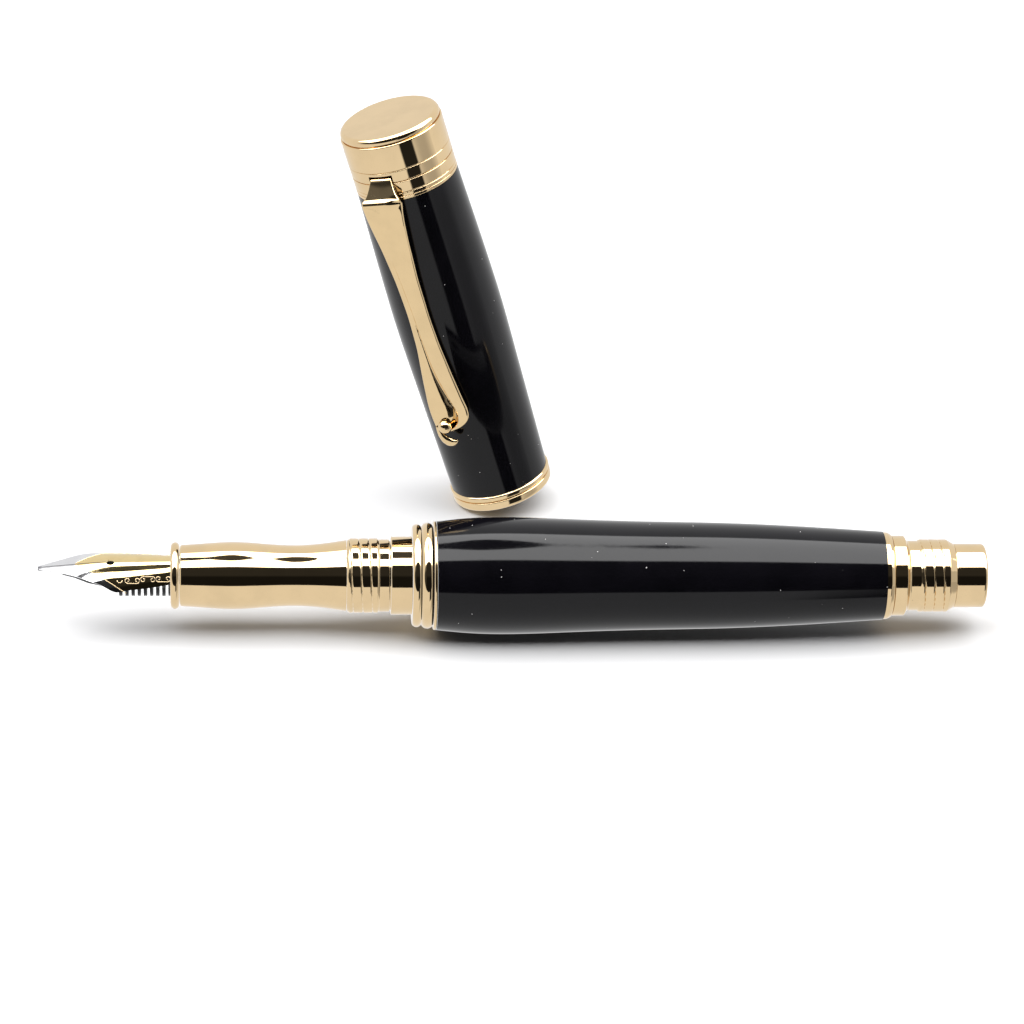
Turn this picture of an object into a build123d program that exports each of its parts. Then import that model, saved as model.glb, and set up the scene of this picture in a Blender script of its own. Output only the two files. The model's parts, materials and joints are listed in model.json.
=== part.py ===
"""Fountain pen with a converter filler, lying uncapped with its cap standing behind it.

Millimetres. +X runs along the pen from nib to tail and +Z is up. The origin is on the floor,
under the centre of the whole set. Pen parts are turned about the pen axis, with X counted from a
point near the middle of the pen. Cap parts are turned about the cap axis, with heights counted
from the cap's mouth. The nib's own frame has its crown along +Z.
"""
import math
import os

from build123d import *

# ---- running fits -------------------------------------------------------------------------
FIT = 0.05                  # radial clearance of a part that slides or turns in another
GLUE = 0.02                 # radial gap of a glued or pressed joint

# ---- layout -------------------------------------------------------------------------------
BARREL_MAX_R = 8.24         # fattest point of the barrel, which touches the floor
CAP_FROM_PEN = 39.7         # from the pen axis back to the cap's mouth
CAP_MOUTH_X = 0.8           # the cap's mouth along the pen
CAP_LEAN = 16.9             # degrees from upright, top towards the nib end
CLIP_TURN = 25.0            # degrees from the front (-Y) round towards the nib end

# ---- barrel -------------------------------------------------------------------------------
BARREL_FRONT = -10.75
BARREL_REAR = 52.4
BARREL_OUTLINE = [(BARREL_FRONT, 7.67), (-5.5, 8.13), (-0.6, BARREL_MAX_R - 0.002), (8.0, 7.98),
                  (18.0, 7.67), (30.0, 7.44), (42.0, 6.90), (BARREL_REAR, 6.24)]
TUBE_R = 5.5                # outside of the brass tube
TUBE_WALL = 0.35

# ---- centre coupler and band ----------------------------------------------------------------
COUPLER_FRONT = -23.4
THREAD_R = 5.24             # crest of the cap thread
THREAD_ROOT_R = 5.02
THREAD_PITCH = 1.36
THREAD_CRESTS = 3
COUPLER_RING = (-18.75, -17.4)
COLLAR_R = 5.5
COLLAR_END = -14.2
COUPLER_SHANK_END = -3.0
COUPLER_BORE_R = 4.2
COUPLER_RING_R = 5.1
COUPLER_GROOVE_R = 4.95
COUPLER_GROOVE_END = -17.2
# trim beads: centre, half width, radius of the crest, radius at the foot
BAND_BEADS = [(-13.55, 0.64, 7.25, 6.9), (-12.06, 0.85, 7.46, 6.95), (-10.99, 0.23, 7.67, 7.45)]

# ---- grip section -------------------------------------------------------------------------
LIP_FRONT = -48.0
LIP_REAR = -46.3
LIP_R = 4.7
LIP_SIDE_R = 3.95           # where the lip's rounding ends
LIP_BEVEL = 0.35
LIP_SPIGOT_R = 3.8          # spigot of the lip inside the grip
LIP_SPIGOT_END = -45.1
GRIP_OUTLINE = [(-46.1, 4.33), (-43.85, 4.49), (-39.4, 4.74), (-34.9, 4.49),
                (-31.25, 4.28), (-27.0, 4.50), (-23.5, 5.00)]
SECTION_BORE_R = 3.45
SECTION_TAIL_R = COUPLER_BORE_R - FIT
SECTION_TAIL_BORE_R = 3.6
SECTION_TAIL_END = -14.6
SECTION_STEP = -25.0        # where the bore widens for the converter's mouth

# ---- nib, feed and housing ----------------------------------------------------------------
NIB_TIP = -66.4
NIB_ROLL = 14.0             # degrees that the crown is turned from up towards the front
NIB_THICKNESS = 0.3
NIB_TAIL = -39.0
# stations from tip to tail: X, height of the crown, radius of the section, half width
NIB_STATIONS = [(NIB_TIP, 1.52, 9.0, 0.36), (-64.8, 1.74, 9.0, 0.82), (-63.0, 1.93, 9.0, 1.44),
                (-61.2, 2.16, 8.5, 2.14), (-59.4, 2.37, 5.9, 2.88), (-57.75, 2.50, 5.2, 3.33),
                (-56.2, 2.58, 4.7, 3.90), (-55.3, 2.59, 4.6, 3.97), (-54.2, 2.60, 4.47, 3.75),
                (-51.0, 2.66, 3.8, 3.34), (-48.3, 2.70, 3.23, 2.90), (-47.45, 2.78, 2.86, 2.69),
                (NIB_TAIL, 2.85, 2.85, 2.69)]
TIPPING_R = 0.36
TIPPING_HEIGHT = 1.34
BREATHER_X = -56.4
BREATHER_R = 0.42
SLIT_WIDTH = 0.09
HOUSING_R = SECTION_BORE_R - FIT
HOUSING_FRONT = -47.4
HOUSING_BORE_R = 2.87
HOUSING_STEP = -38.9
HOUSING_REAR = -25.1
NIPPLE_R = 1.15
NIPPLE_END = -18.6
INK_CHANNEL_R = 0.5
FEED_R = 2.52
FEED_REAR = -39.2
FEED_FRONT = -55.6          # front of the full round body
FEED_SHOULDER = -57.6
FEED_NOSE = -63.3
FEED_NOSE_R = 0.4
FEED_NOSE_HEIGHT = 1.2
FEED_SHOULDER_R = 1.72      # slimmer ahead of the fins, so that the tines hide it
FEED_SHOULDER_HEIGHT = 0.34
FEED_CORE_R = 1.3           # what is left between the fins
FIN_R = 2.86
FIN_PITCH = 0.86
FIN_THICKNESS = 0.4
FIN_COUNT = 9
FIN_FIRST = -55.2
FIN_TOP = 0.45              # the comb is cut below this height, under the nib's wings

# ---- converter ----------------------------------------------------------------------------
MOUTH_FRONT = -25.0
MOUTH_REAR = -16.4
MOUTH_R = 3.45
MOUTH_SEAT = -17.9          # end wall that the ink tube stands on
INK_TUBE_R = 3.2
INK_TUBE_BORE = 2.75
INK_TUBE_REAR = 20.0
BAND_R = 3.42
BAND_FRONT = 12.5
BAND_REAR = 27.0
GUIDE_FRONT = 16.5
ROD_R = 0.9
PISTON_FRONT = -16.0
PISTON_LENGTH = 4.2
ROD_REAR = 24.2
KNOB_FRONT = 27.2
KNOB_REAR = 46.0
KNOB_R = 3.3
KNOB_FLUTES = 24
NUT_FRONT = 20.3

# ---- tail ---------------------------------------------------------------------------------
TAIL_FLANGE_REAR = 53.6
TAIL_RING_R = 5.67
TAIL_RING_REAR = 55.6
TAIL_NECK_R = 4.94
TAIL_THREAD_FRONT = 57.4
TAIL_THREAD_R = 5.15
TAIL_THREAD_ROOT_R = 4.97
TAIL_THREAD_REAR = 61.75
TAIL_SHOULDER = 62.5
SPIGOT_R = 4.51
TAIL_END = 66.9
TAIL_BORE_R = 3.9
TAIL_SHANK_FRONT = 45.0

# ---- cap, heights from its mouth ----------------------------------------------------------
CAP_HEIGHT = 61.9
CAP_LIP_R = 7.5
CAP_FLANGE_R = 7.56
MOUTH_RING_HEIGHT = 2.4
MOUTH_BORE_R = 5.6
CAP_SLEEVE_TOP = 52.1
CAP_OUTLINE = [(7.32, MOUTH_RING_HEIGHT), (7.57, 12.0), (7.83, 22.0), (7.99, 30.0),
               (7.88, 38.0), (7.68, 46.0), (7.50, CAP_SLEEVE_TOP)]
CAP_TUBE_R = 6.2
CAP_TUBE_WALL = 0.35
MOUTH_SHANK_TOP = 4.2
BUSH_TOP = 10.6
BUSH_MAJOR_R = 5.34
BUSH_MINOR_R = 5.12
LINER_R = 5.8
LINER_BORE_R = 5.3
TOP_BUSH_BOTTOM = 46.5
TOP_BUSH_BORE_R = 2.4
CLIP_RING_TOP = 53.2
RING_HEIGHT = 1.75
STACK_R = 7.54
STACK_BAND_TOP = 60.75
FINIAL_DISC_BOTTOM = 60.95
FINIAL_DISC_R = 7.38
SCREW_R = 2.35

# ---- clip, seen with its root on the cap axis and its face towards +X -------------------------
CLIP_ROOT_X = 6.2
CLIP_SLOT_WIDTH = 3.5
CLIP_SLOT = (53.1, 55.0)
CLIP_SIDE = [(CLIP_ROOT_X, 54.85), (7.6, 54.75), (8.75, 52.75), (9.35, 52.45), (9.75, 51.8),
             (9.35, 44.0), (9.02, 36.0), (8.98, 28.0), (9.15, 20.0), (9.3, 15.0), (8.6, 15.0),
             (8.4, 20.0), (8.25, 28.0), (8.27, 36.0), (8.6, 44.0), (9.0, 51.2), (8.7, 51.6),
             (8.3, 51.9), (7.74, 53.35), (CLIP_ROOT_X, 53.35)]
CLIP_TOP = 52.8             # the arm is at its full width below this
# right edge from shoulder to flare: half width and height
CLIP_EDGE = [(3.05, CLIP_TOP), (2.85, 50.0), (2.3, 46.0), (1.85, 40.0), (1.7, 34.0), (1.9, 29.0),
             (2.45, 24.0), (2.9, 20.0)]
CLIP_CORNER_RIGHT = [(3.2, 17.5), (2.7, 16.4), (1.4, 15.5), (0.2, 15.2)]
CLIP_CORNER_LEFT = [(-2.5, 15.3), (-2.85, 18.0)]
BALL_R = 1.05
BALL_AT = (9.3, -0.95, 15.95)
LOBE_R = 0.5
LOBE_X = 9.3
LOBE_PATH = [(-2.2, 15.2), (-1.4, 13.3), (0.3, 13.4)]


# ---- placing ------------------------------------------------------------------------------
LIP_EDGE_R = 0.55           # rounding of the cap's mouth lip, on which it stands
_lean = math.radians(CAP_LEAN)
CAP_LIFT = ((CAP_LIP_R - LIP_EDGE_R) * math.sin(_lean) + LIP_EDGE_R
            - LIP_EDGE_R * math.cos(_lean))
CAP_BACK_R = 8.0            # furthest that the cap reaches behind its axis
PEN_Y = (BARREL_MAX_R - CAP_BACK_R - CAP_FROM_PEN) / 2
PEN_X = -(NIB_TIP - TIPPING_R * 0.4 + TAIL_END) / 2
PEN_PLACE = Location((PEN_X, PEN_Y, BARREL_MAX_R))
NIB_PLACE = PEN_PLACE * Location((0, 0, 0), (NIB_ROLL, 0, 0))
CAP_PLACE = Location((PEN_X + CAP_MOUTH_X, PEN_Y + CAP_FROM_PEN, CAP_LIFT), (0, -CAP_LEAN, 0))
CLIP_PLACE = CAP_PLACE * Location((0, 0, 0), (0, 0, 270 - CLIP_TURN))

parts = {}


def turned_on_x(*edges):
    """Solid of revolution about X from edges that close an outline in the XY plane."""
    return revolve(make_face(list(edges)), Axis.X, 360)


def turned_on_z(*edges):
    """Solid of revolution about Z from edges that close an outline in the XZ plane."""
    return revolve(make_face(list(edges)), Axis.Z, 360)


def ring_x(x0, x1, outer, inner=0.0):
    """Plain ring or disc along the pen axis."""
    return turned_on_x(Polyline((x0, inner), (x1, inner), (x1, outer), (x0, outer), close=True))


def ring_z(z0, z1, outer, inner=0.0):
    """Plain ring or disc along the cap axis."""
    outline = [(inner, 0, z0), (outer, 0, z0), (outer, 0, z1), (inner, 0, z1)]
    return turned_on_z(Polyline(*outline, close=True))


def bead_x(centre, half_width, crest_r, base_r):
    """Ring with a rounded outside, along the pen axis."""
    arc = ThreePointArc((centre - half_width, base_r), (centre, crest_r),
                        (centre + half_width, base_r))
    foot = Polyline((centre + half_width, base_r), (centre + half_width, TUBE_R),
                    (centre - half_width, TUBE_R), (centre - half_width, base_r))
    return turned_on_x(arc, foot)


def rounded_ring_z(z0, z1, outer, inner, edge):
    """Ring along the cap axis with its two outer edges rounded."""
    ring = ring_z(z0, z1, outer, inner)
    rims = ring.edges().filter_by(GeomType.CIRCLE).group_by(SortBy.RADIUS)[-1]
    return fillet(rims, edge)


# ---- barrel -------------------------------------------------------------------------------
def barrel_sleeve():
    skin = Spline(*BARREL_OUTLINE)
    bore = Polyline(BARREL_OUTLINE[-1], (BARREL_REAR, TUBE_R), (BARREL_FRONT, TUBE_R),
                    BARREL_OUTLINE[0])
    return turned_on_x(skin, bore)


def barrel_tube():
    return ring_x(BARREL_FRONT, BARREL_REAR, TUBE_R - GLUE, TUBE_R - TUBE_WALL)


def thread_crests(first, pitch, count, crest_r, root_r):
    """Thread ridges as separate rounded rings, one for each turn."""
    ridges = None
    for turn in range(count):
        middle = first + pitch * turn
        half = pitch * 0.27
        flank = pitch * 0.12
        ridge = turned_on_x(Polyline((middle - half - flank, root_r - 0.3),
                                     (middle - half - flank, root_r), (middle - half, crest_r),
                                     (middle + half, crest_r), (middle + half + flank, root_r),
                                     (middle + half + flank, root_r - 0.3), close=True))
        ridges = ridge if ridges is None else ridges + ridge
    return ridges


def centre_coupler():
    shank_r = TUBE_R - TUBE_WALL - GLUE
    body = ring_x(COUPLER_FRONT, COUPLER_RING[0], THREAD_ROOT_R)
    body += thread_crests(COUPLER_FRONT + 0.55, THREAD_PITCH, THREAD_CRESTS, THREAD_R,
                          THREAD_ROOT_R)
    body += ring_x(COUPLER_RING[0] - 0.1, COUPLER_RING[1], COUPLER_RING_R)
    body += ring_x(COUPLER_RING[1] - 0.1, COUPLER_GROOVE_END, COUPLER_GROOVE_R)
    body += ring_x(COUPLER_GROOVE_END, COLLAR_END, COLLAR_R)
    body += ring_x(COLLAR_END - 0.1, COUPLER_SHANK_END, shank_r)
    return body - ring_x(COUPLER_FRONT - 1, COUPLER_SHANK_END + 1, COUPLER_BORE_R)


def centre_band():
    """Trim ring with a narrow bead, a wide bead and a thin rounded rim."""
    band = ring_x(COLLAR_END, BARREL_FRONT, TUBE_R, TUBE_R - TUBE_WALL)
    for bead in BAND_BEADS:
        band += bead_x(*bead)
    return band


def tail_trim_ring():
    bore_r = TUBE_R - TUBE_WALL
    outline = Polyline((BARREL_REAR, bore_r), (BARREL_REAR, 6.16), (53.0, 6.14), (53.45, 5.95),
                       (TAIL_FLANGE_REAR, 5.62), (TAIL_FLANGE_REAR, bore_r), close=True)
    return turned_on_x(outline)


def tail_thread_bush():
    """Ring, neck and posting thread on a shank pressed into the barrel tube."""
    shank_r = TUBE_R - TUBE_WALL - GLUE
    body = ring_x(TAIL_SHANK_FRONT, TAIL_FLANGE_REAR, shank_r)
    outline = Polyline((TAIL_FLANGE_REAR, 0), (TAIL_FLANGE_REAR, TAIL_RING_R),
                       (TAIL_RING_REAR - 0.25, TAIL_RING_R), (TAIL_RING_REAR + 0.3, TAIL_NECK_R),
                       (TAIL_THREAD_FRONT, TAIL_NECK_R), (TAIL_THREAD_FRONT, TAIL_THREAD_ROOT_R),
                       (TAIL_THREAD_REAR, TAIL_THREAD_ROOT_R), (TAIL_SHOULDER, 4.55),
                       (TAIL_SHOULDER, 0), close=True)
    body += turned_on_x(outline)
    body += thread_crests(TAIL_THREAD_FRONT + 0.7, THREAD_PITCH, THREAD_CRESTS, TAIL_THREAD_R,
                          TAIL_THREAD_ROOT_R)
    return body - ring_x(TAIL_SHANK_FRONT - 1, TAIL_SHOULDER + 1, TAIL_BORE_R)


def tail_end_plug():
    """Plain end spigot with a stub that closes the tail bush."""
    edge = 0.5
    skin = Polyline((TAIL_SHOULDER, 0), (TAIL_SHOULDER, SPIGOT_R), (TAIL_END - edge, SPIGOT_R))
    corner = ThreePointArc((TAIL_END - edge, SPIGOT_R),
                           (TAIL_END - edge * (1 - math.sqrt(0.5)),
                            SPIGOT_R - edge * (1 - math.sqrt(0.5))),
                           (TAIL_END, SPIGOT_R - edge))
    end = Polyline((TAIL_END, SPIGOT_R - edge), (TAIL_END, 0), (TAIL_SHOULDER, 0))
    return turned_on_x(skin, corner, end) + ring_x(TAIL_SHOULDER - 1.0, TAIL_SHOULDER + 0.1,
                                                   TAIL_BORE_R - GLUE)


# ---- grip section -------------------------------------------------------------------------
def section_nose_ring():
    """Rounded lip round the nib."""
    middle = (LIP_FRONT + LIP_REAR) / 2
    crest = ThreePointArc((LIP_FRONT, LIP_SIDE_R), (middle, LIP_R), (LIP_REAR, LIP_SIDE_R))
    foot = Polyline((LIP_REAR, LIP_SIDE_R), (LIP_REAR, SECTION_BORE_R),
                    (LIP_FRONT + LIP_BEVEL, SECTION_BORE_R),
                    (LIP_FRONT, SECTION_BORE_R + LIP_BEVEL), (LIP_FRONT, LIP_SIDE_R))
    ring = turned_on_x(crest, foot)
    return ring + ring_x(middle, LIP_SPIGOT_END, LIP_SPIGOT_R, SECTION_BORE_R)


def grip_section():
    """Waisted metal grip with a plain tail that screws into the centre coupler."""
    skin = Spline(*GRIP_OUTLINE)
    front = GRIP_OUTLINE[0]
    rear = GRIP_OUTLINE[-1]
    rest = Polyline(rear, (COUPLER_FRONT - 0.06, 5.0), (COUPLER_FRONT - 0.06, SECTION_TAIL_R),
                    (SECTION_TAIL_END, SECTION_TAIL_R), (SECTION_TAIL_END, SECTION_TAIL_BORE_R),
                    (SECTION_STEP, SECTION_TAIL_BORE_R), (SECTION_STEP, SECTION_BORE_R),
                    (LIP_SPIGOT_END + FIT, SECTION_BORE_R),
                    (LIP_SPIGOT_END + FIT, LIP_SPIGOT_R + GLUE),
                    (LIP_REAR + GLUE, LIP_SPIGOT_R + GLUE), (LIP_REAR + GLUE, front[1] - 0.2),
                    front)
    return turned_on_x(skin, rest)


# ---- nib unit -----------------------------------------------------------------------------
def nib_band(station, above=0.0, below=NIB_THICKNESS):
    """Cross-section of the nib's curved sheet, or of the room for it, at one station."""
    x, crown, radius, half_width = station
    centre = crown - radius
    angle = math.asin(half_width / radius)
    outer, inner = radius + above, radius - below
    left = [(-r * math.sin(angle), centre + r * math.cos(angle)) for r in (outer, inner)]
    right = [(-y, z) for y, z in left]
    outside = ThreePointArc((x, *left[0]), (x, 0, centre + outer), (x, *right[0]))
    inside = ThreePointArc((x, *right[1]), (x, 0, centre + inner), (x, *left[1]))
    sides = [Line((x, *right[0]), (x, *right[1])), Line((x, *left[1]), (x, *left[0]))]
    return make_face([outside, sides[0], inside, sides[1]])


def nib():
    """Curved sheet that narrows to a slit, tipped point, with a breather hole."""
    sheet = loft([nib_band(station) for station in NIB_STATIONS], ruled=True)
    hole = Cylinder(BREATHER_R, 4).moved(Location((BREATHER_X, 0, 3)))
    slit_length = BREATHER_X - NIB_TIP + 1
    slit = Box(slit_length, SLIT_WIDTH, 6).moved(
        Location((NIB_TIP - 1 + slit_length / 2, 0, 2)))
    pellet = Sphere(TIPPING_R).moved(Location((NIB_TIP + TIPPING_R * 0.6, 0, TIPPING_HEIGHT)))
    return sheet + pellet - hole - slit


def feed():
    """Ink feed: round body, tapered nose under the tines and a deep comb below the wings."""
    body = ring_x(FEED_FRONT, FEED_REAR, FEED_R)
    discs = [(FEED_FRONT, 0, FEED_R), (FEED_SHOULDER, FEED_SHOULDER_HEIGHT, FEED_SHOULDER_R),
             (FEED_NOSE, FEED_NOSE_HEIGHT, FEED_NOSE_R)]
    body += loft([Plane((x, 0, z), x_dir=(0, 1, 0), z_dir=(-1, 0, 0)) * Circle(radius)
                  for x, z, radius in discs], ruled=True)
    below = Box(40, 10, 10).moved(Location((-52, 0, FIN_TOP - 5)))
    comb_end = FIN_FIRST + FIN_PITCH * FIN_COUNT
    body -= ring_x(FIN_FIRST, comb_end, FIN_R, FEED_CORE_R) & below
    for index in range(FIN_COUNT):
        start = FIN_FIRST + FIN_PITCH * index
        body += ring_x(start, start + FIN_THICKNESS, FIN_R) & below
    room = loft([nib_band(station, 2.0, NIB_THICKNESS + FIT) for station in NIB_STATIONS],
                ruled=True)
    return body - room


def nib_housing():
    """Collar that grips nib and feed, with the nipple that pierces or enters the filler."""
    outline = Polyline((HOUSING_FRONT, HOUSING_BORE_R), (HOUSING_FRONT, HOUSING_R),
                       (HOUSING_REAR, HOUSING_R), (HOUSING_REAR, NIPPLE_R),
                       (NIPPLE_END - 0.4, NIPPLE_R), (NIPPLE_END, NIPPLE_R - 0.3),
                       (NIPPLE_END, INK_CHANNEL_R), (HOUSING_STEP, INK_CHANNEL_R),
                       (HOUSING_STEP, HOUSING_BORE_R), close=True)
    return turned_on_x(outline)


# ---- converter ----------------------------------------------------------------------------
def converter_mouth():
    channel_r = NIPPLE_R + FIT
    outline = Polyline((MOUTH_FRONT, channel_r), (MOUTH_FRONT, MOUTH_R), (MOUTH_REAR, MOUTH_R),
                       (MOUTH_REAR, INK_TUBE_R + GLUE), (MOUTH_SEAT, INK_TUBE_R + GLUE),
                       (MOUTH_SEAT, channel_r), close=True)
    return turned_on_x(outline)


def converter_ink_tube():
    return ring_x(MOUTH_SEAT, INK_TUBE_REAR, INK_TUBE_R, INK_TUBE_BORE)


def converter_band():
    """Plated sleeve that holds the ink tube and carries the knob's nut."""
    outline = Polyline((BAND_FRONT, INK_TUBE_R + GLUE), (BAND_FRONT, BAND_R), (BAND_REAR, BAND_R),
                       (BAND_REAR, 2.2), (INK_TUBE_REAR + GLUE, 2.2),
                       (INK_TUBE_REAR + GLUE, INK_TUBE_R + GLUE), close=True)
    return turned_on_x(outline)


def rod_guide():
    return ring_x(GUIDE_FRONT, INK_TUBE_REAR - 0.1, INK_TUBE_BORE - GLUE, ROD_R + FIT)


def drive_nut():
    """Threaded sleeve inside the band that turns with the knob."""
    return ring_x(NUT_FRONT, KNOB_FRONT, 2.2 - FIT, ROD_R + FIT)


def converter_knob():
    """Fluted knob, hollow so that the rod can come back into it."""
    knob = ring_x(KNOB_FRONT, KNOB_REAR, KNOB_R)
    knob = chamfer(knob.edges().filter_by(GeomType.CIRCLE), 0.35)
    knob -= ring_x(KNOB_FRONT - 1, KNOB_REAR - 1.2, ROD_R + 0.3)
    flute = Cylinder(0.22, KNOB_REAR - KNOB_FRONT - 4, rotation=(0, 90, 0))
    middle = (KNOB_REAR + KNOB_FRONT) / 2
    for index in range(KNOB_FLUTES):
        angle = 2 * math.pi * index / KNOB_FLUTES
        knob -= flute.moved(Location((middle, KNOB_R * math.cos(angle), KNOB_R * math.sin(angle))))
    return knob


def piston_rod():
    return ring_x(PISTON_FRONT + PISTON_LENGTH - 1.2, ROD_REAR, ROD_R)


def piston_seal():
    """Double-lipped seal with a socket for the rod."""
    lip_r = INK_TUBE_BORE - FIT
    waist_r = lip_r - 0.35
    rear = PISTON_FRONT + PISTON_LENGTH
    outline = Polyline((PISTON_FRONT, 0), (PISTON_FRONT, lip_r), (PISTON_FRONT + 0.9, lip_r),
                       (PISTON_FRONT + 1.2, waist_r), (rear - 1.2, waist_r), (rear - 0.9, lip_r),
                       (rear, lip_r), (rear, ROD_R), (rear - 1.2, ROD_R), (rear - 1.2, 0),
                       close=True)
    return turned_on_x(outline)


# ---- cap ----------------------------------------------------------------------------------
def cap_sleeve():
    points = [(r, 0, z) for r, z in CAP_OUTLINE]
    skin = Spline(*points)
    bore = Polyline(points[-1], (CAP_TUBE_R, 0, CAP_SLEEVE_TOP),
                    (CAP_TUBE_R, 0, MOUTH_RING_HEIGHT), points[0])
    return turned_on_z(skin, bore)


def cap_tube():
    return ring_z(MOUTH_RING_HEIGHT, CAP_SLEEVE_TOP, CAP_TUBE_R - GLUE, CAP_TUBE_R - CAP_TUBE_WALL)


def cap_mouth_ring():
    """Rounded lip and thin flange, with a shank inside the cap tube."""
    lip = rounded_ring_z(0, 1.35, CAP_LIP_R, MOUTH_BORE_R, LIP_EDGE_R)
    neck = ring_z(1.3, 1.6, CAP_LIP_R - 0.3, MOUTH_BORE_R)
    flange = rounded_ring_z(1.55, MOUTH_RING_HEIGHT, CAP_FLANGE_R, MOUTH_BORE_R, 0.3)
    shank = ring_z(MOUTH_RING_HEIGHT - 0.1, MOUTH_SHANK_TOP, CAP_TUBE_R - CAP_TUBE_WALL - GLUE,
                   MOUTH_BORE_R)
    return lip + neck + flange + shank


def cap_thread_bush():
    """Bush that screws onto the centre coupler, or onto the tail when the cap is posted."""
    outer = CAP_TUBE_R - CAP_TUBE_WALL - GLUE
    bush = ring_z(MOUTH_SHANK_TOP, BUSH_TOP, outer, BUSH_MAJOR_R)
    for turn in range(4):
        start = MOUTH_SHANK_TOP + 0.5 + THREAD_PITCH * turn
        bush += ring_z(start, start + THREAD_PITCH * 0.35, BUSH_MAJOR_R + 0.1, BUSH_MINOR_R)
    return bush


def cap_liner():
    """Closed inner cup that seals the nib when the cap is on."""
    shell = ring_z(BUSH_TOP, TOP_BUSH_BOTTOM, LINER_R)
    return shell - ring_z(BUSH_TOP - 1, TOP_BUSH_BOTTOM - 0.8, LINER_BORE_R)


def cap_top_bush():
    """Threaded plug in the top of the cap tube that the finial screw pulls on."""
    outer = CAP_TUBE_R - CAP_TUBE_WALL - GLUE
    return ring_z(TOP_BUSH_BOTTOM, CAP_SLEEVE_TOP, outer, TOP_BUSH_BORE_R)


def slotted(ring):
    """Cut the notch through which the clip's tongue comes out."""
    depth = STACK_R + 2 - CLIP_ROOT_X
    height = CLIP_SLOT[1] - CLIP_SLOT[0]
    notch = Box(depth, CLIP_SLOT_WIDTH, height, align=(Align.MIN, Align.CENTER, Align.MIN))
    return ring - notch.moved(Location((CLIP_ROOT_X - 0.06, 0, CLIP_SLOT[0])))


def clip_ring():
    """Thin ring clamped on the sleeve, with the ledge that the clip's tongue springs from."""
    ring = rounded_ring_z(CAP_SLEEVE_TOP, 52.62, STACK_R - 0.02, SCREW_R + FIT, 0.12)
    return ring + rounded_ring_z(52.6, CLIP_RING_TOP, STACK_R - 0.06, SCREW_R + FIT, 0.12)


def finial_rings():
    """Two stepped rings under the finial band."""
    lower = rounded_ring_z(CLIP_RING_TOP, CLIP_RING_TOP + RING_HEIGHT - 0.05, STACK_R - 0.02,
                           SCREW_R + GLUE, 0.2)
    upper = rounded_ring_z(CLIP_RING_TOP + RING_HEIGHT + 0.05, CLIP_RING_TOP + 2 * RING_HEIGHT,
                           STACK_R - 0.02, SCREW_R + GLUE, 0.2)
    core = ring_z(CLIP_RING_TOP + 0.5, CLIP_RING_TOP + 2 * RING_HEIGHT - 0.5, STACK_R - 0.25,
                  SCREW_R + GLUE)
    return slotted(lower + upper + core)


def finial_band():
    """Plain polished band above the stepped rings, threaded inside for the screw."""
    bottom = CLIP_RING_TOP + 2 * RING_HEIGHT
    band = rounded_ring_z(bottom, STACK_BAND_TOP, STACK_R, SCREW_R + GLUE, 0.2)
    neck = ring_z(STACK_BAND_TOP - 0.2, FINIAL_DISC_BOTTOM, FINIAL_DISC_R - 0.3, SCREW_R + GLUE)
    return band + neck


def finial_disc():
    """Flat polished top with rounded edges."""
    return rounded_ring_z(FINIAL_DISC_BOTTOM, CAP_HEIGHT, FINIAL_DISC_R, 0, 0.4)


def finial_screw():
    """Stud from inside the cap that holds the top stack and the clip ring."""
    return ring_z(TOP_BUSH_BOTTOM + 1.5, FINIAL_DISC_BOTTOM - 0.1, SCREW_R)


def clip_arm():
    """Sprung arm: tongue in the ring slot, rounded shoulder, waist and flared end."""
    side = make_face(Polyline(*[(x, 0, z) for x, z in CLIP_SIDE], close=True))
    slab = extrude(side, 4.0, both=True, dir=(0, 1, 0))
    right = [(0, y, z) for y, z in CLIP_EDGE]
    left = [(0, -y, z) for y, z in reversed(CLIP_EDGE)]
    corner_right = [(0, y, z) for y, z in CLIP_CORNER_RIGHT]
    corner_left = [(0, y, z) for y, z in CLIP_CORNER_LEFT]
    front = make_face([Spline(*right), Polyline(right[-1], *corner_right, *corner_left, left[0]),
                       Spline(*left), Line(left[-1], right[0])])
    arm = slab & extrude(front, 14, dir=(1, 0, 0))
    tongue = slab & Box(CLIP_SIDE[2][0] - CLIP_ROOT_X, CLIP_SLOT_WIDTH - 0.2, 4.0,
                        align=(Align.MIN, Align.CENTER, Align.MIN)).moved(
                            Location((CLIP_ROOT_X, 0, CLIP_TOP - 1.0)))
    keep = Box(12, 8, 60, align=(Align.MIN, Align.CENTER, Align.MIN)).moved(
        Location((STACK_R + 0.15, 0, 0)))
    return (arm & keep) + tongue


def clip_ball():
    """Rolled end of the clip: a ball with a curled lobe that leads cloth under it."""
    start, middle, end = [(LOBE_X, y, z) for y, z in LOBE_PATH]
    path = ThreePointArc(start, middle, end)
    lobe = sweep(Plane(start, z_dir=path % 0) * Circle(LOBE_R), path)
    ball = Sphere(BALL_R).moved(Location(BALL_AT))
    tips = Sphere(LOBE_R).moved(Location(start)) + Sphere(LOBE_R).moved(Location(end))
    bridge = Cylinder(LOBE_R, 1.9).moved(Location((LOBE_X, -0.95, 14.3)))
    return ball + lobe + tips + bridge - clip_arm()


PEN_PARTS = [barrel_sleeve, barrel_tube, centre_coupler, centre_band, tail_trim_ring,
             tail_thread_bush, tail_end_plug, section_nose_ring, grip_section, nib_housing,
             converter_mouth, converter_ink_tube, converter_band, rod_guide, drive_nut,
             converter_knob, piston_rod, piston_seal]
NIB_PARTS = [nib, feed]
CAP_PARTS = [cap_sleeve, cap_tube, cap_mouth_ring, cap_thread_bush, cap_liner, cap_top_bush,
             finial_band, finial_disc, finial_screw]
CLIP_PARTS = [clip_ring, finial_rings, clip_arm, clip_ball]

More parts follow.
